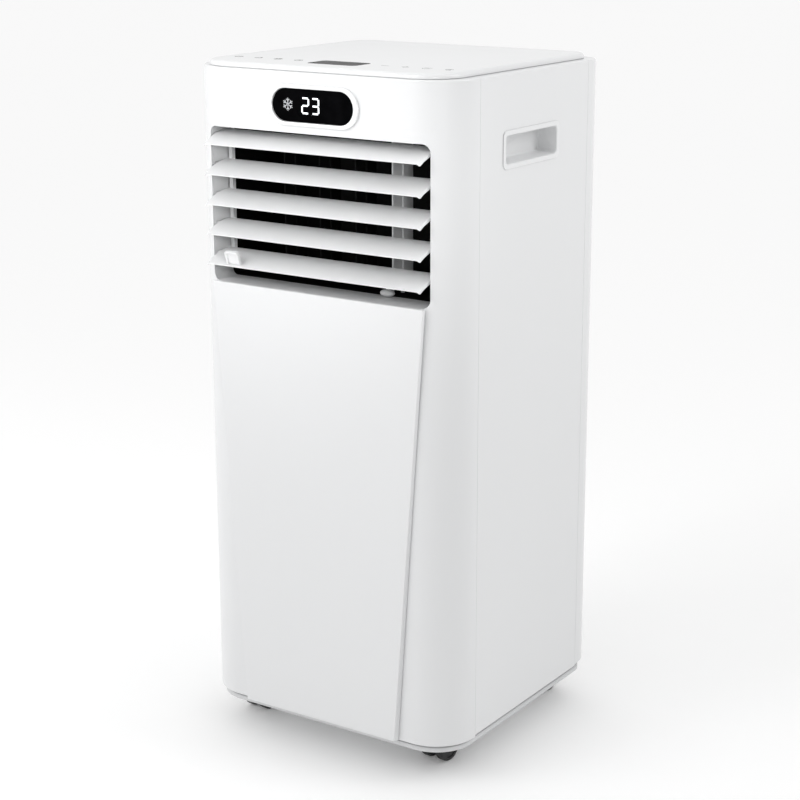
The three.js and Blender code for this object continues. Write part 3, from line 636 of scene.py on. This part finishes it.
def makeGripCup(side, word):
    spec = gripSettings
    face = halfWidth + spec["gap"]
    rise = spec["proud"] - spec["gap"]
    floor = halfWidth - spec["depth"]
    neck = spec["neck"] + spec["gap"]
    wallTop = face + rise * spec["outerWall"]
    inner = spec["rim"] + spec["draft"]
    bends = quarterTurn(spec["roundSteps"])
    section = [(neck, floor - 2), (neck, face), (0, face), (0, wallTop)]
    for across, up in bends[1:]:
        section.append((spec["outerRound"] * (1 - across), wallTop + rise * (1 - spec["outerWall"]) * up))
    for across, up in bends:
        section.append((spec["rim"] - spec["innerRound"] * across,
                        face + rise - spec["innerRound"] * (1 - across)))
    for across, up in bends:
        section.append((inner + spec["floorRound"] * (1 - across),
                        floor + spec["floorRound"] * (1 - up)))
    cup = meshFromRings("gripCup" + word, [gripRing(inset, x, side) for inset, x in section])
    return dress(smooth(cup, 45), "satinWhite", "cabinet",
                 ["grip_cup_" + word.lower()])


makeCamera(viewSettings)
makeLights(lightSettings)
makeFrontShell()
makeTrimPanel()
for sideSign, sideWord in ((-1, "Left"), (1, "Right")):
    makeSidePanel(sideSign, sideWord)
    makeGripCup(sideSign, sideWord)
print("front, sides and grips made")

coverSettings = {
    "frontRadius": 37, "rearRadius": 25, "edge": 4, "edgeSteps": 8, "cornerSteps": 24, "seat": 0.3,
    "skirtDepth": 9, "skirtOuter": 22.3, "skirtInner": 24.8, "pocket": 1.6, "windowGap": 0.3,
    "windowRadius": 6,
}


def makeTopCover():
    spec = coverSettings
    box = boxMm("top_cover")
    top = box[1][2]
    base = ledgeTop + spec["seat"]
    skirtFoot = base - spec["skirtDepth"]
    shoulder = top - spec["edge"]

    def ring(inset, z):
        front = spec["frontRadius"] - inset
        rear = spec["rearRadius"] - inset
        return flatZ(insetOutline(box, 0, 1, inset, [front, front, rear, rear], spec["cornerSteps"]), z)

    section = [(0, base), (0, shoulder)]
    for across, up in quarterTurn(spec["edgeSteps"])[1:]:
        section.append((spec["edge"] * (1 - across), shoulder + spec["edge"] * up))
    cover = meshFromRings("topCover", [ring(inset, z) for inset, z in section])
    outer, inner = spec["skirtOuter"], spec["skirtInner"]
    skirt = [flatZ(bodyOutline(inset, 12), z) for inset, z in (
        (outer, base), (outer, skirtFoot), (inner, skirtFoot), (inner, base))]
    joined = joinMeshes("topCover", [cover, meshFromRings("skirt", skirt, closed=True)])
    window = boxMm("top_display_window")
    grow = spec["windowGap"]
    pocket = insetOutline(window, 0, 1, -grow, spec["windowRadius"], 10)
    punch(joined, flatZ, pocket, top - spec["pocket"], top + 5)
    soften(joined, 0.3, 2, 50)
    dress(smooth(joined, 45), "glossyWhite", "cabinet", ["top_cover"])
    glass = [(0, window[0][2]), (0, top - 0.35), (0.12, top - 0.1), (0.35, top)]
    pane = meshFromRings("topDisplayWindow", [flatZ(insetOutline(
        window, 0, 1, inset, spec["windowRadius"] - grow - inset, 12), z) for inset, z in glass])
    dress(smooth(pane), "windowBlack", "cabinet", ["top_display_window"])


makeTopCover()


# Flat marks are drawn as strokes: short bars of one width, laid on a face.
def strokeMesh(name, strokes, width, thick, toPlace):
    parts = []
    for (x0, y0), (x1, y1) in strokes:
        along = Vector((x1 - x0, y1 - y0))
        if along.length < 1e-6:
            continue
        along.normalize()
        across = Vector((-along.y, along.x)) * width / 2
        cap = along * width / 2
        start = Vector((x0, y0)) - cap * 0.6
        end = Vector((x1, y1)) + cap * 0.6
        corners = [start + across, start - across, end - across, end + across]
        parts.append(meshFromRings("stroke", [[toPlace(p.x, p.y, 0) for p in corners],
                                              [toPlace(p.x, p.y, thick) for p in corners]]))
    return joinMeshes(name, parts)


def arcStrokes(cx, cy, radius, start, end, steps):
    spots = arc(cx, cy, radius, start, end, steps)
    return list(zip(spots, spots[1:]))


def ray(cx, cy, inner, outer, angle):
    return (polar(cx, cy, inner, angle), polar(cx, cy, outer, angle))


def snowStrokes(cx, cy, size):
    strokes = []
    for i in range(6):
        angle = 90 + 60 * i
        strokes.append(ray(cx, cy, size * 0.12, size, angle))
        fork = polar(cx, cy, size * 0.56, angle)
        for turn in (-48, 48):
            strokes.append((fork, polar(*fork, size * 0.36, angle + turn)))
    return strokes


touchSettings = {"row": 44.5, "size": 3.9, "stroke": 0.85, "thick": 0.06,
                 "left": [-122, -97.5, -74, -49.5], "right": [51, 73.5, 97, 122]}


def touchStrokes(kind, cx, cy, s):
    if kind == "power":
        return arcStrokes(cx, cy, s, 125, 415, 14) + [((cx, cy + s * 0.2), (cx, cy + s * 1.2))]
    if kind == "timer":
        return arcStrokes(cx, cy, s, 0, 360, 16) + [((cx, cy), (cx, cy + s * 0.6)),
                                                    ((cx, cy), (cx + s * 0.5, cy))]
    if kind == "plus":
        return [((cx - s, cy), (cx + s, cy)), ((cx, cy - s), (cx, cy + s))]
    if kind == "minus":
        return [((cx - s, cy), (cx + s, cy))]
    if kind == "snow":
        return snowStrokes(cx, cy, s * 1.15)
    if kind == "swing":
        return arcStrokes(cx, cy, s, 200, 340, 8) + [((cx - s, cy + s * 0.7), (cx + s, cy + s * 0.7))]
    if kind == "fan":
        strokes = []
        for turn in (90, 210, 330):
            strokes += arcStrokes(*polar(cx, cy, s * 0.5, turn), s * 0.5, turn - 120, turn + 100, 8)
        return strokes
    return arcStrokes(cx, cy, s * 0.9, 40, 320, 12) + [((cx - s * 0.4, cy), (cx + s * 0.4, cy))]


def makeTouchMarks():
    spec = touchSettings
    top = boxMm("top_cover")[1][2]
    row = frontY + spec["row"]
    strokes = []
    kinds = ["power", "fan", "snow", "timer", "minus", "plus", "swing", "sleep"]
    for kind, x in zip(kinds, spec["left"] + spec["right"]):
        strokes += touchStrokes(kind, x, row, spec["size"])
    marks = strokeMesh("touchMarks", strokes, spec["stroke"], spec["thick"],
                       lambda x, y, lift: (x, y, top + lift))
    dress(marks, "markGrey", "cabinet")


makeTouchMarks()
print("top cover and touch marks made")


def makeDisplay():
    spec = displaySettings
    face = frontY - spec["proud"]
    lensFront = face + spec["lensSink"]
    r = spec["rimRound"]
    rimX = (spec["width"] - spec["glassWidth"]) / 2
    rimZ = (spec["height"] - spec["glassHeight"]) / 2

    def ring(share, lift, y, steps=20):
        return flatY(stadium(spec["width"] - 2 * (rimX * share + lift),
                             spec["height"] - 2 * (rimZ * share + lift), steps), y)

    back = frontY - 0.3
    section = [ring(0, 0, back), ring(0, 0, face + r)]
    for across, up in quarterTurn(5)[1:]:
        section.append(ring(0, r * (1 - across), face + r - r * up))
    section += [ring(0.86, 0, face + 0.05), ring(0.97, 0, face + 0.4), ring(1, 0, face + 0.75),
                ring(1, 0, lensFront + 2.2), ring(1, 2, lensFront + 2.2), ring(1, 2, frontY + 2.2),
                ring(0, 2.4, frontY + 2.2), ring(0, 2.4, back)]
    bezel = meshFromRings("displayBezel", section, closed=True)
    dress(smooth(bezel, 50), "silverTrim", "cabinet", ["display_bezel"])

    def lens(inset, y):
        return flatY(stadium(spec["glassWidth"] - 0.6 - 2 * inset,
                             spec["glassHeight"] - 0.6 - 2 * inset), y)

    pane = meshFromRings("displayLens", [lens(0, lensFront + spec["lensThickness"]),
                                         lens(0, lensFront + 0.4), lens(0.15, lensFront + 0.1),
                                         lens(0.45, lensFront)])
    dress(smooth(pane), "displayBlack", "cabinet", ["display_lens"])
    return lensFront


digitSettings = {"centreZ": 663.5, "height": 14, "width": 7.4, "stroke": 1.5, "gapAt": 0.35,
                 "places": [-8.3, 3.3], "snowX": -28.6, "snowZ": 663.8, "snowSize": 5.8,
                 "snowStroke": 0.75, "thick": 0.08}
# Ends of the seven digit segments, in half widths and half heights.
segmentLines = {
    "a": ((-1, 1), (1, 1)), "b": ((1, 1), (1, 0)), "c": ((1, 0), (1, -1)), "d": ((-1, -1), (1, -1)),
    "e": ((-1, 0), (-1, -1)), "f": ((-1, 1), (-1, 0)), "g": ((-1, 0), (1, 0)),
}


def makeLitMarks(lensFront):
    spec = digitSettings

    def onLens(x, z, lift):
        return (x, lensFront - lift, z)

    strokes = []
    for letters, centre in zip(("abged", "abgcd"), spec["places"]):
        for letter in letters:
            (x0, z0), (x1, z1) = segmentLines[letter]
            start = Vector((centre + x0 * spec["width"] / 2, spec["centreZ"] + z0 * spec["height"] / 2))
            end = Vector((centre + x1 * spec["width"] / 2, spec["centreZ"] + z1 * spec["height"] / 2))
            trim = (end - start).normalized() * (spec["stroke"] / 2 + spec["gapAt"])
            strokes.append((tuple(start + trim), tuple(end - trim)))
    digits = strokeMesh("displayDigits", strokes, spec["stroke"], spec["thick"], onLens)
    dress(digits, "litWhite", "cabinet")
    snow = strokeMesh("displaySnowflake", snowStrokes(spec["snowX"], spec["snowZ"], spec["snowSize"]),
                      spec["snowStroke"], spec["thick"], onLens)
    dress(snow, "litSoft", "cabinet")


makeLitMarks(makeDisplay())
print("front display made")

bladeSettings = {"front": 23, "rear": 12.7, "tilt": 18.7, "tip": 0.6, "tail": 0.5, "bottomSag": -0.7,
                 "crown": 4.2, "half": 125.5, "steps": 18, "rearRound": 5, "endLip": 1.1,
                 "endLipLength": 4, "tipShare": 0.28, "pin": 2, "pinReach": 130.1}


def quadratic(start, middle, end, steps):
    return [tuple((1 - t) ** 2 * a + 2 * t * (1 - t) * b + t * t * c
                  for a, b, c in zip(start, middle, end)) for t in (i / steps for i in range(steps + 1))]


# Section across one blade: flat underneath, crowned on top, with two round noses.
def bladeSection():
    spec = bladeSettings
    front, rear, tip, tail = spec["front"], spec["rear"], spec["tip"], spec["tail"]
    under = quadratic((-front + tip, -tip), (-front / 4, spec["bottomSag"]), (rear - tail, -tail),
                      spec["steps"])
    over = quadratic((rear - tail, tail), (-front / 4, spec["crown"]), (-front + tip, tip),
                     spec["steps"])
    noses = [arc(centre, 0, radius, start, start + 180, 6)[1:-1]
             for centre, radius, start in ((rear - tail, tail, -90), (-front + tip, tip, 90))]
    return under + noses[0] + over + noses[1]


def makeBlade(number):
    spec = bladeSettings
    joint = next(j for j in frame["joints"] if j["name"] == f"louvre_tilt_{number}")
    pivot = Vector(joint["pos_m"]) / mm
    tilt = math.radians(spec["tilt"])

    def placed(x, y, z):
        return (x, pivot.y + y * math.cos(tilt) - z * math.sin(tilt),
                pivot.z + y * math.sin(tilt) + z * math.cos(tilt))

    section = bladeSection()
    half, lip, run = spec["half"], spec["endLip"], spec["endLipLength"]
    stations = [(-half, 1, 0.4), (-half + 0.35, 1, 0), (-half + run * 0.4, 0.85, 0), (-half + run, 0, 0),
                (half - run, 0, 0), (half - run * 0.4, 0.85, 0), (half - 0.35, 1, 0), (half, 1, 0.4)]
    rings = []
    for x, drop, pinch in stations:
        ring = []
        for y, z in section:
            tipRun = spec["front"] * spec["tipShare"]
            toTip = max(0.0, min(1.0, (-y - spec["front"] + tipRun) / tipRun))
            toRear = max(0.0, y - (spec["rear"] - spec["rearRound"]))
            arc = spec["rearRound"] - math.sqrt(max(0.0, spec["rearRound"] ** 2 - toRear ** 2))
            inward = arc * abs(x) / half * (1 if abs(x) > half - run - 0.1 else 0)
            ring.append(placed(x - math.copysign(inward, x), y - lip * 0.5 * drop * toTip,
                               z * (1 - pinch) - lip * drop * toTip))
        rings.append(ring)
    blade = meshFromRings(f"louvreBlade{number}", rings)
    pins = []
    for side in (-1, 1):
        profile = [(spec["pin"], side * (half - 2)), (spec["pin"], side * spec["pinReach"])]
        pins.append(turned("pin", profile, 20, (0, pivot.y, pivot.z), (1, 0, 0)))
    body = joinMeshes(f"louvreBlade{number}", [blade] + pins)
    return dress(smooth(body, 42), "satinWhite", f"louvre_{number}",
                 [f"louvre_blade_{number}"])


for bladeNumber in range(1, 6):
    makeBlade(bladeNumber)

# The air duct, its vane link bar and vertical vanes 1 to 3 take the black duct finish with painted shade.
refinedSettings = {
    "louvre_link_bar": ("louvreLinkBar", "louvre_link", "satinWhite", "white_satin", 0.5),
    "louvre_grip_tab": ("louvreGripTab", "louvre_5", "satinWhite", "white_satin", 0.45),
    **{f"vertical_vane_{i}": (f"verticalVane{i}", f"vane_{i}", "ductBlack", "dark_plastic", 0.3)
       for i in range(1, 4)},
    "vertical_vane_4": ("verticalVane4", "vane_4", "satinWhite", "white_satin", 0.3),
    "vane_link_bar": ("vaneLinkBar", "vane_link", "ductBlack", "dark_plastic", 0.4),
    "louvre_surround": ("louvreSurround", "cabinet", "satinWhite", "white_satin", 0.4),
    "air_duct": ("airDuct", "cabinet", "ductBlack", "dark_plastic", 0.4),
}
for nodeName, (pieceName, bodyName, finishName, slotName, edgeWidth) in refinedSettings.items():
    made = refined(nodeName, pieceName, edgeWidth)
    dress(made, finishName, bodyName, [nodeName])

knobSettings = {"length": 8, "depth": 5, "height": 3.4, "stemHalf": 2}


def makeVaneKnob():
    spec = knobSettings
    low, high = boxMm("vane_grip_knob")
    centreX = (low[0] + high[0]) / 2
    centreY = low[1] + spec["depth"]
    centreZ = low[2] + spec["height"]
    rings = []
    for i in range(13):
        angle = math.pi * (i + 0.25) / 12.5 - math.pi / 2
        z = centreZ + spec["height"] * math.sin(angle)
        rings.append([(centreX + spec["length"] * x, centreY + spec["depth"] * y, z)
                      for x, y in circle(0, 0, math.cos(angle), 36)])
    knob = meshFromRings("knob", rings)
    half = spec["stemHalf"]
    stem = blockMesh(centreX - half, centreX + half, centreY, high[1], centreZ - half, high[2])
    soften(stem, 0.6, 2)
    carve(knob, stem, "UNION")
    knob.name = "vaneGripKnob"
    dress(smooth(knob, 50), "satinWhite", "vane_4", ["vane_grip_knob"])


makeVaneKnob()
print("louvres and vanes made")

traySettings = {"lipInset": 4, "wallInset": 2.8, "innerInset": 6.5, "floor": 3.5, "step": 48.5,
                "grooveFrom": 40.2, "grooveDepth": 1.6}


def makeBaseTray():
    spec = traySettings
    low, high = boxMm("base_tray")
    bottom, top = low[2], high[2]
    section = [(spec["lipInset"] + 1.2, bottom), (spec["lipInset"] + 0.35, bottom + 0.35),
               (spec["lipInset"], bottom + 1.2), (spec["lipInset"], spec["grooveFrom"] - 0.6),
               (spec["lipInset"] + 0.4, spec["grooveFrom"]),
               (spec["lipInset"] + spec["grooveDepth"], spec["grooveFrom"] + 0.5),
               (spec["lipInset"] + spec["grooveDepth"], spec["step"]),
               (spec["wallInset"], spec["step"]), (spec["wallInset"], top), (spec["innerInset"], top),
               (spec["innerInset"], bottom + spec["floor"])]
    tray = meshFromRings("baseTray", [flatZ(bodyOutline(inset, 20), z) for inset, z in section])
    return dress(smooth(tray, 50), "trayGrey", "cabinet", ["base_tray"])


wheelSettings = {"radius": 16, "width": 10, "spacing": 18.6, "axle": 2.5, "steps": 64}


# Hub, web and rounded tread of one wheel, from one face to the other.
def tyreProfile():
    r, half = wheelSettings["radius"], wheelSettings["width"] / 2
    side = [(0.4, 1.4), (3.2, 1.3), (3.6, 0.2), (5.2, 0.1), (5.8, 1.6), (r - 4.2, 1.6), (r - 3.6, 0.3),
            (r - 2, 0), (r - 0.9, 0.35), (r - 0.25, 1.3), (r, 2.6)]
    return ([(radius, along - half) for radius, along in side]
            + [(radius, half - along) for radius, along in reversed(side)])


def makeCasters():
    spec = wheelSettings
    for joint in frame["joints"]:
        if not joint["name"].startswith("roll_"):
            continue
        spot = joint["name"][5:]
        word = "".join(part.capitalize() for part in spot.split("_"))
        hub = Vector(joint["pos_m"]) / mm
        axis = Vector(joint["axis"]).normalized()
        parts = [turned("tyre", tyreProfile(), spec["steps"],
                        hub + axis * side * spec["spacing"] / 2, axis) for side in (-1, 1)]
        inner = (spec["spacing"] - spec["width"]) / 2 + 1.5
        parts.append(turned("axle", [(spec["axle"], -inner), (spec["axle"], inner)], 24, hub, axis))
        wheels = joinMeshes("casterWheels" + word, parts)
        dress(smooth(wheels, 35), "wheelRubber", "wheels_" + spot,
              ["caster_wheels_" + spot])
        fork = refined("caster_fork_" + spot, "casterFork" + word, 0.5, 2)
        dress(fork, "darkPlastic", "caster_" + spot, ["caster_fork_" + spot])


makeBaseTray()
makeCasters()
print("tray and casters made")


# A geometry node group with named inputs.
class NodeTree:
    def __init__(self, name, inputs):
        self.group = bpy.data.node_groups.new(name, "GeometryNodeTree")
        face = self.group.interface
        for way in ("INPUT", "OUTPUT"):
            face.new_socket("Geometry", in_out=way, socket_type="NodeSocketGeometry")
        self.identifiers = {}
        for label, kind in inputs.items():
            item = face.new_socket(label, in_out="INPUT", socket_type="NodeSocket" + kind)
            self.identifiers[label] = item.identifier
        self.entry = self.group.nodes.new("NodeGroupInput")
        self.exit = self.group.nodes.new("NodeGroupOutput")
        self.given = {label: self.entry.outputs[label] for label in inputs}

    def add(self, kind, settings=None, inputs=None, out=0):
        node = self.group.nodes.new(kind)
        for key, value in (settings or {}).items():
            setattr(node, key, value)
        for key, value in (inputs or {}).items():
            if isinstance(value, bpy.types.NodeSocket):
                self.group.links.new(value, node.inputs[key])
            else:
                node.inputs[key].default_value = value
        return node.outputs[out]

    def times(self, value, factor):
        return self.add("ShaderNodeMath", {"operation": "MULTIPLY"}, {0: value, 1: factor})

    def vector(self, **parts):
        return self.add("ShaderNodeCombineXYZ", {}, parts)

    def close(self, geometry):
        real = self.add("GeometryNodeRealizeInstances", {}, {"Geometry": geometry})
        painted = self.add("GeometryNodeSetMaterial", {}, {"Geometry": real,
                                                           "Material": self.given["Finish"]})
        self.group.links.new(painted, self.exit.inputs["Geometry"])


def growPiece(name, tree, values, points=None):
    mesh = bpy.data.meshes.new(name)
    if points:
        mesh.from_pydata([Vector(p) * mm for p in points], [], [])
    made = bpy.data.objects.new(name, mesh)
    bpy.context.scene.collection.objects.link(made)
    step = made.modifiers.new("grow", "NODES")
    step.node_group = tree.group
    for label, value in values.items():
        step[tree.identifiers[label]] = value
    return settle(made)


# Rounded bars in a row: slats of the rear filters and fins of the coils.
def barRowTree():
    tree = NodeTree("barRow", {"Start": "Vector", "Pitch": "Vector", "Count": "Int", "Length": "Float",
                               "Depth": "Float", "Thickness": "Float", "Radius": "Float",
                               "Turn": "Vector", "Finish": "Material"})
    given = tree.given
    first = tree.vector(X=tree.times(given["Length"], -0.5))
    last = tree.vector(X=tree.times(given["Length"], 0.5))
    line = tree.add("GeometryNodeCurvePrimitiveLine", {}, {"Start": first, "End": last})
    section = tree.add("GeometryNodeCurvePrimitiveQuadrilateral", {}, {
        "Width": given["Depth"], "Height": given["Thickness"]})
    fillet = tree.add("GeometryNodeFilletCurve", {}, {"Curve": section, "Radius": given["Radius"]})
    bar = tree.add("GeometryNodeCurveToMesh", {}, {"Curve": line, "Profile Curve": fillet,
                                                   "Fill Caps": True})
    row = tree.add("GeometryNodeMeshLine", {}, {"Count": given["Count"], "Offset": given["Pitch"],
                                                "Start Location": given["Start"]})
    tree.close(tree.add("GeometryNodeInstanceOnPoints", {}, {"Points": row, "Instance": bar,
                                                             "Rotation": given["Turn"]}))
    return tree


# Pan-head screws with a cross slot, one on each point.
def screwTree():
    tree = NodeTree("screwSet", {"Head Radius": "Float", "Head Height": "Float", "Turn": "Vector",
                                 "Finish": "Material"})
    head, height = tree.given["Head Radius"], tree.given["Head Height"]
    screw = tree.add("GeometryNodeMeshCylinder", {}, {"Vertices": 24, "Radius": head, "Depth": height})
    slotLength, slotWidth = tree.times(head, 1.2), tree.times(head, 0.28)
    lift = tree.vector(Z=tree.times(height, 0.55))
    for across, up in ((slotLength, slotWidth), (slotWidth, slotLength)):
        cube = tree.add("GeometryNodeMeshCube", {}, {"Size": tree.vector(X=across, Y=up, Z=height)})
        cutter = tree.add("GeometryNodeTransform", {}, {"Geometry": cube, "Translation": lift})
        screw = tree.add("GeometryNodeMeshBoolean", {"operation": "DIFFERENCE"}, {
            "Mesh 1": screw, "Mesh 2": cutter}, "Mesh")
    tree.close(tree.add("GeometryNodeInstanceOnPoints", {}, {
        "Points": tree.entry.outputs["Geometry"], "Instance": screw, "Rotation": tree.given["Turn"]}))
    return tree


barRow = barRowTree()
screwSet = screwTree()


def growBars(name, start, pitch, count, length, section, radius, turn, finish):
    return growPiece(name, barRow, {
        "Start": [v * mm for v in start], "Pitch": [v * mm for v in pitch], "Count": count,
        "Length": length * mm, "Depth": section[0] * mm, "Thickness": section[1] * mm,
        "Radius": radius * mm, "Turn": turn, "Finish": finishes[finish]})


rearSettings = {"exhaustZ": 345, "exhaustOuter": 63.5, "exhaustInner": 61, "holeGap": 0.3,
                "drainHole": 9, "glandHole": 7,
                "screws": [(-132, 60), (132, 60), (-132, 300), (132, 372), (-132, 560), (132, 560),
                           (-132, 672), (132, 672)]}


def makeRearShell():
    spec = rearSettings
    shell = makeCasing("rearShell", rearLow[2], (
        -200, 200, rearLow[1] - casingSettings["seamClose"], 200, rearLow[2] - 10, 800))
    grow = spec["holeGap"]
    outlines = [insetOutline(boxMm(which + "_filter_frame"), 0, 2, -grow, 8, 8)
                for which in ("upper", "lower")]
    outlines.append(circle(0, spec["exhaustZ"], spec["exhaustOuter"] + grow, 96))
    for node, radius in (("drain_cap_lower", spec["drainHole"]), ("drain_cap_upper", spec["drainHole"]),
                         ("cord_gland", spec["glandHole"])):
        x, _, z = centreMm(node)
        outlines.append(circle(x, z, radius, 40))
    for outline in outlines:
        punch(shell, flatY, outline, rearY - 8, rearY + 8)
    finishCasing(shell, "rear_shell")
    screws = growPiece("rearScrews", screwSet, {
        "Head Radius": 3.2 * mm, "Head Height": 1.8 * mm, "Turn": (-math.pi / 2, 0, 0),
        "Finish": finishes["sheetSteel"]}, [(x, rearY + 0.5, z) for x, z in spec["screws"]])
    dress(smooth(screws), "sheetSteel", "cabinet")


filterSettings = {"border": 12, "radius": 8, "slatPitch": 9, "slatDepth": 4.6, "slatThickness": 1.5,
                  "slatTilt": 28, "depth": 4.1, "mullion": 5, "meshPitch": 3.2,
                  "meshWire": 0.45}


def makeFilter(which):
    spec = filterSettings
    node = which + "_filter_frame"
    low, high = boxMm(node)
    face = high[1]

    def ring(inset, y):
        radius = max(1.5, spec["radius"] - inset * 0.6)
        return flatY(insetOutline((low, high), 0, 2, inset, radius, 8), y)

    back = face - spec["depth"]
    border = spec["border"]
    section = [ring(0, back), ring(0, face - 0.5), ring(0.15, face - 0.15), ring(0.5, face),
               ring(border - 0.6, face), ring(border - 0.15, face - 0.2), ring(border, face - 0.6),
               ring(border, back)]
    rim = meshFromRings("rim", section, closed=True)
    bottom, top = low[2] + border, high[2] - border
    mullion = blockMesh(-spec["mullion"] / 2, spec["mullion"] / 2, back + 0.4, face - 0.3,
                        bottom - 1, top + 1)
    count = int((top - bottom) / spec["slatPitch"])
    first = (bottom + top) / 2 - (count - 1) * spec["slatPitch"] / 2
    inner = high[0] - border
    tilt = math.radians(spec["slatTilt"])
    slats = growBars("slats", (0, face - spec["depth"] / 2 + 0.1, first), (0, 0, spec["slatPitch"]),
                     count, 2 * inner + 1, (spec["slatDepth"], spec["slatThickness"]), 0.5,
                     (math.pi / 2 + tilt, 0, 0), "satinWhite")
    whole = joinMeshes(which + "FilterFrame", [rim, mullion, slats])
    dress(smooth(whole), "satinWhite", which + "_filter", [node])
    gap, wire = spec["meshPitch"], (spec["meshWire"], spec["meshWire"])
    columns, rows = int(2 * inner / gap), int((top - bottom) / gap)
    middle = (bottom + top) / 2
    wires = [growBars("net", (-(columns - 1) * gap / 2, back - 0.3, middle), (gap, 0, 0), columns,
                      top - bottom + 2, wire, 0.05, (0, math.pi / 2, 0), "darkPlastic"),
             growBars("net", (0, back - 0.7, middle - (rows - 1) * gap / 2), (0, 0, gap), rows,
                      2 * inner + 2, wire, 0.05, (0, 0, 0), "darkPlastic")]
    net = joinMeshes(which + "FilterNet", wires)
    dress(smooth(net), "darkPlastic", which + "_filter")


def makeExhaust():
    spec = rearSettings
    end = boxMm("exhaust_duct")[1][1]
    outer, inner = spec["exhaustOuter"], spec["exhaustInner"]
    profile = [(inner, rearY - 8), (outer, rearY - 8), (outer, end - 6.2), (outer - 0.9, end - 5.8),
               (outer - 0.9, end - 4.4), (outer, end - 4), (outer, end - 0.7), (outer - 0.6, end),
               (inner + 0.5, end), (inner, end - 0.5)]
    rings = [flatY(circle(0, spec["exhaustZ"], radius, 96), y) for radius, y in profile]
    collar = meshFromRings("exhaustCollar", rings, closed=True)
    dress(smooth(collar, 35), "satinWhite", "cabinet")


def makePlugs():
    for which, body in (("lower", "lower_drain_plug"), ("upper", "upper_drain_plug")):
        low, high = boxMm("drain_cap_" + which)
        x, _, z = centreMm("drain_cap_" + which)
        r = (high[0] - low[0]) / 2
        profile = [(0.3, low[1]), (4.6, low[1]), (5.4, low[1] + 0.9), (5.4, rearY + 0.4),
                   (r - 0.5, rearY + 0.4), (r, rearY + 0.9), (r, high[1] - 1.4),
                   (r - 0.5, high[1] - 0.4), (r - 1.5, high[1]), (r - 4, high[1]),
                   (r - 4.4, high[1] - 0.5), (0.3, high[1] - 0.5)]
        cap = turned("drainCap" + which.capitalize(), profile, 48, (x, 0, z), (0, 1, 0))
        dress(smooth(cap, 35), "drainRubber", body, ["drain_cap_" + which])
    low, high = boxMm("cord_gland")
    x, _, z = centreMm("cord_gland")
    profile = [(4, low[1]), (6.6, low[1]), (6.6, rearY + 0.4), (9.6, rearY + 0.4), (10, rearY + 0.8),
               (10, high[1] - 2.4), (9.2, high[1] - 1), (7.4, high[1]), (4.5, high[1]),
               (4, high[1] - 0.5)]
    rings = [flatY(circle(x, z, radius, 48), y) for radius, y in profile]
    gland = meshFromRings("cordGland", rings, closed=True)
    dress(smooth(gland, 35), "darkPlastic", "cabinet", ["cord_gland"])


makeRearShell()
for filterName in ("upper", "lower"):
    makeFilter(filterName)
makeExhaust()
makePlugs()
print("rear made")

coilSettings = {"pitch": 2.2, "fin": 0.3, "plate": 1.2, "tube": 4, "tubeRows": 8}


def makeCoil(node, name):
    spec = coilSettings
    low, high = boxMm(node)
    half = -low[0]
    depth, height = high[1] - low[1], high[2] - low[2]
    count = int(2 * half / spec["pitch"])
    start = (-(count - 1) * spec["pitch"] / 2, *centreMm(node)[1:])
    fins = growBars("fins", start, (spec["pitch"], 0, 0), count, height, (spec["fin"], depth - 0.4),
                    0.02, (0, math.pi / 2, 0), "coilAluminium")
    parts = [fins]
    for x in (-half + 0.6, half - 0.6):
        parts.append(blockMesh(x - spec["plate"] / 2, x + spec["plate"] / 2, low[1], high[1],
                               low[2], high[2]))
    step = height / spec["tubeRows"]
    for i in range(spec["tubeRows"]):
        z = low[2] + step * (i + 0.5)
        for y in (low[1] + depth * 0.28, high[1] - depth * 0.28):
            parts.append(turned("tube", [(spec["tube"], -half + 0.5), (spec["tube"], high[0] - 2)], 12,
                                (0, y, z), (1, 0, 0)))
    coil = joinMeshes(name, parts)
    dress(smooth(coil, 30), "coilAluminium", "cabinet", [node])


makeCoil("evaporator_coil", "evaporatorCoil")
makeCoil("condenser_coil", "condenserCoil")

innerFinishes = {
    "louvre_motor": "sheetSteel", "exhaust_duct": "satinWhite", "condensate_trough": "linerFoam",
    "middle_deck": "sheetSteel", "control_box": "sheetSteel", "main_board": "boardGreen",
    "compressor": "motorBlack", "discharge_pipe": "pipeCopper", "suction_pipe": "pipeCopper",
    **{f"compressor_foot_{i}": "drainRubber" for i in range(1, 4)},
}
for level in ("upper", "lower"):
    innerFinishes.update({level + "_blower_scroll": "darkPlastic", level + "_fan_motor": "sheetSteel",
                          level + "_blower_wheel": "darkPlastic"})
for nodeName, finishName in innerFinishes.items():
    for socket in frame["nodes"][nodeName].material_slots:
        socket.material = finishes[finishName]
print("inner pieces finished")


def makeRoom(spec):
    half = spec["floorSize"] / 2
    floor = blockMesh(-half / mm, half / mm, -half / mm, half / mm, -20, 0)
    floor.name = "studioFloor"
    made = Recipe("studioFloor")
    tone = made.noise(made.place(), 0.8, 2)
    made.surface(colour=made.mixColour(tone, (spec["floorTone"],) * 3, (spec["floorTone"] - 0.01,) * 3),
                 roughness=0.9, glow=(1, 1, 1), glowStrength=spec["floorGlow"])
    floor.data.materials.append(made.material)
    world = bpy.data.worlds.new("studioSky")
    sky = Recipe("studioSky", world)
    turn = math.radians(spec["darkAzimuth"])
    facing = sky.add("ShaderNodeVectorMath", {"operation": "DOT_PRODUCT"}, {
        0: sky.add("ShaderNodeTexCoord", out="Generated"), 1: (math.sin(turn), -math.cos(turn), 0)},
        out="Value")
    dark = sky.add("ShaderNodeMapRange", {"interpolation_type": "SMOOTHSTEP"}, {
        "Value": facing, "From Min": spec["darkFrom"], "From Max": spec["darkTo"]})
    sky.feed(sky.shader.inputs["Color"], (1, 1, 1))
    sky.feed(sky.shader.inputs["Strength"], (1 - dark * spec["darkDepth"]) * spec["skyStrength"])
    bpy.context.scene.world = world
    bpy.context.scene.view_settings.view_transform = "Standard"


makeRoom(roomSettings)
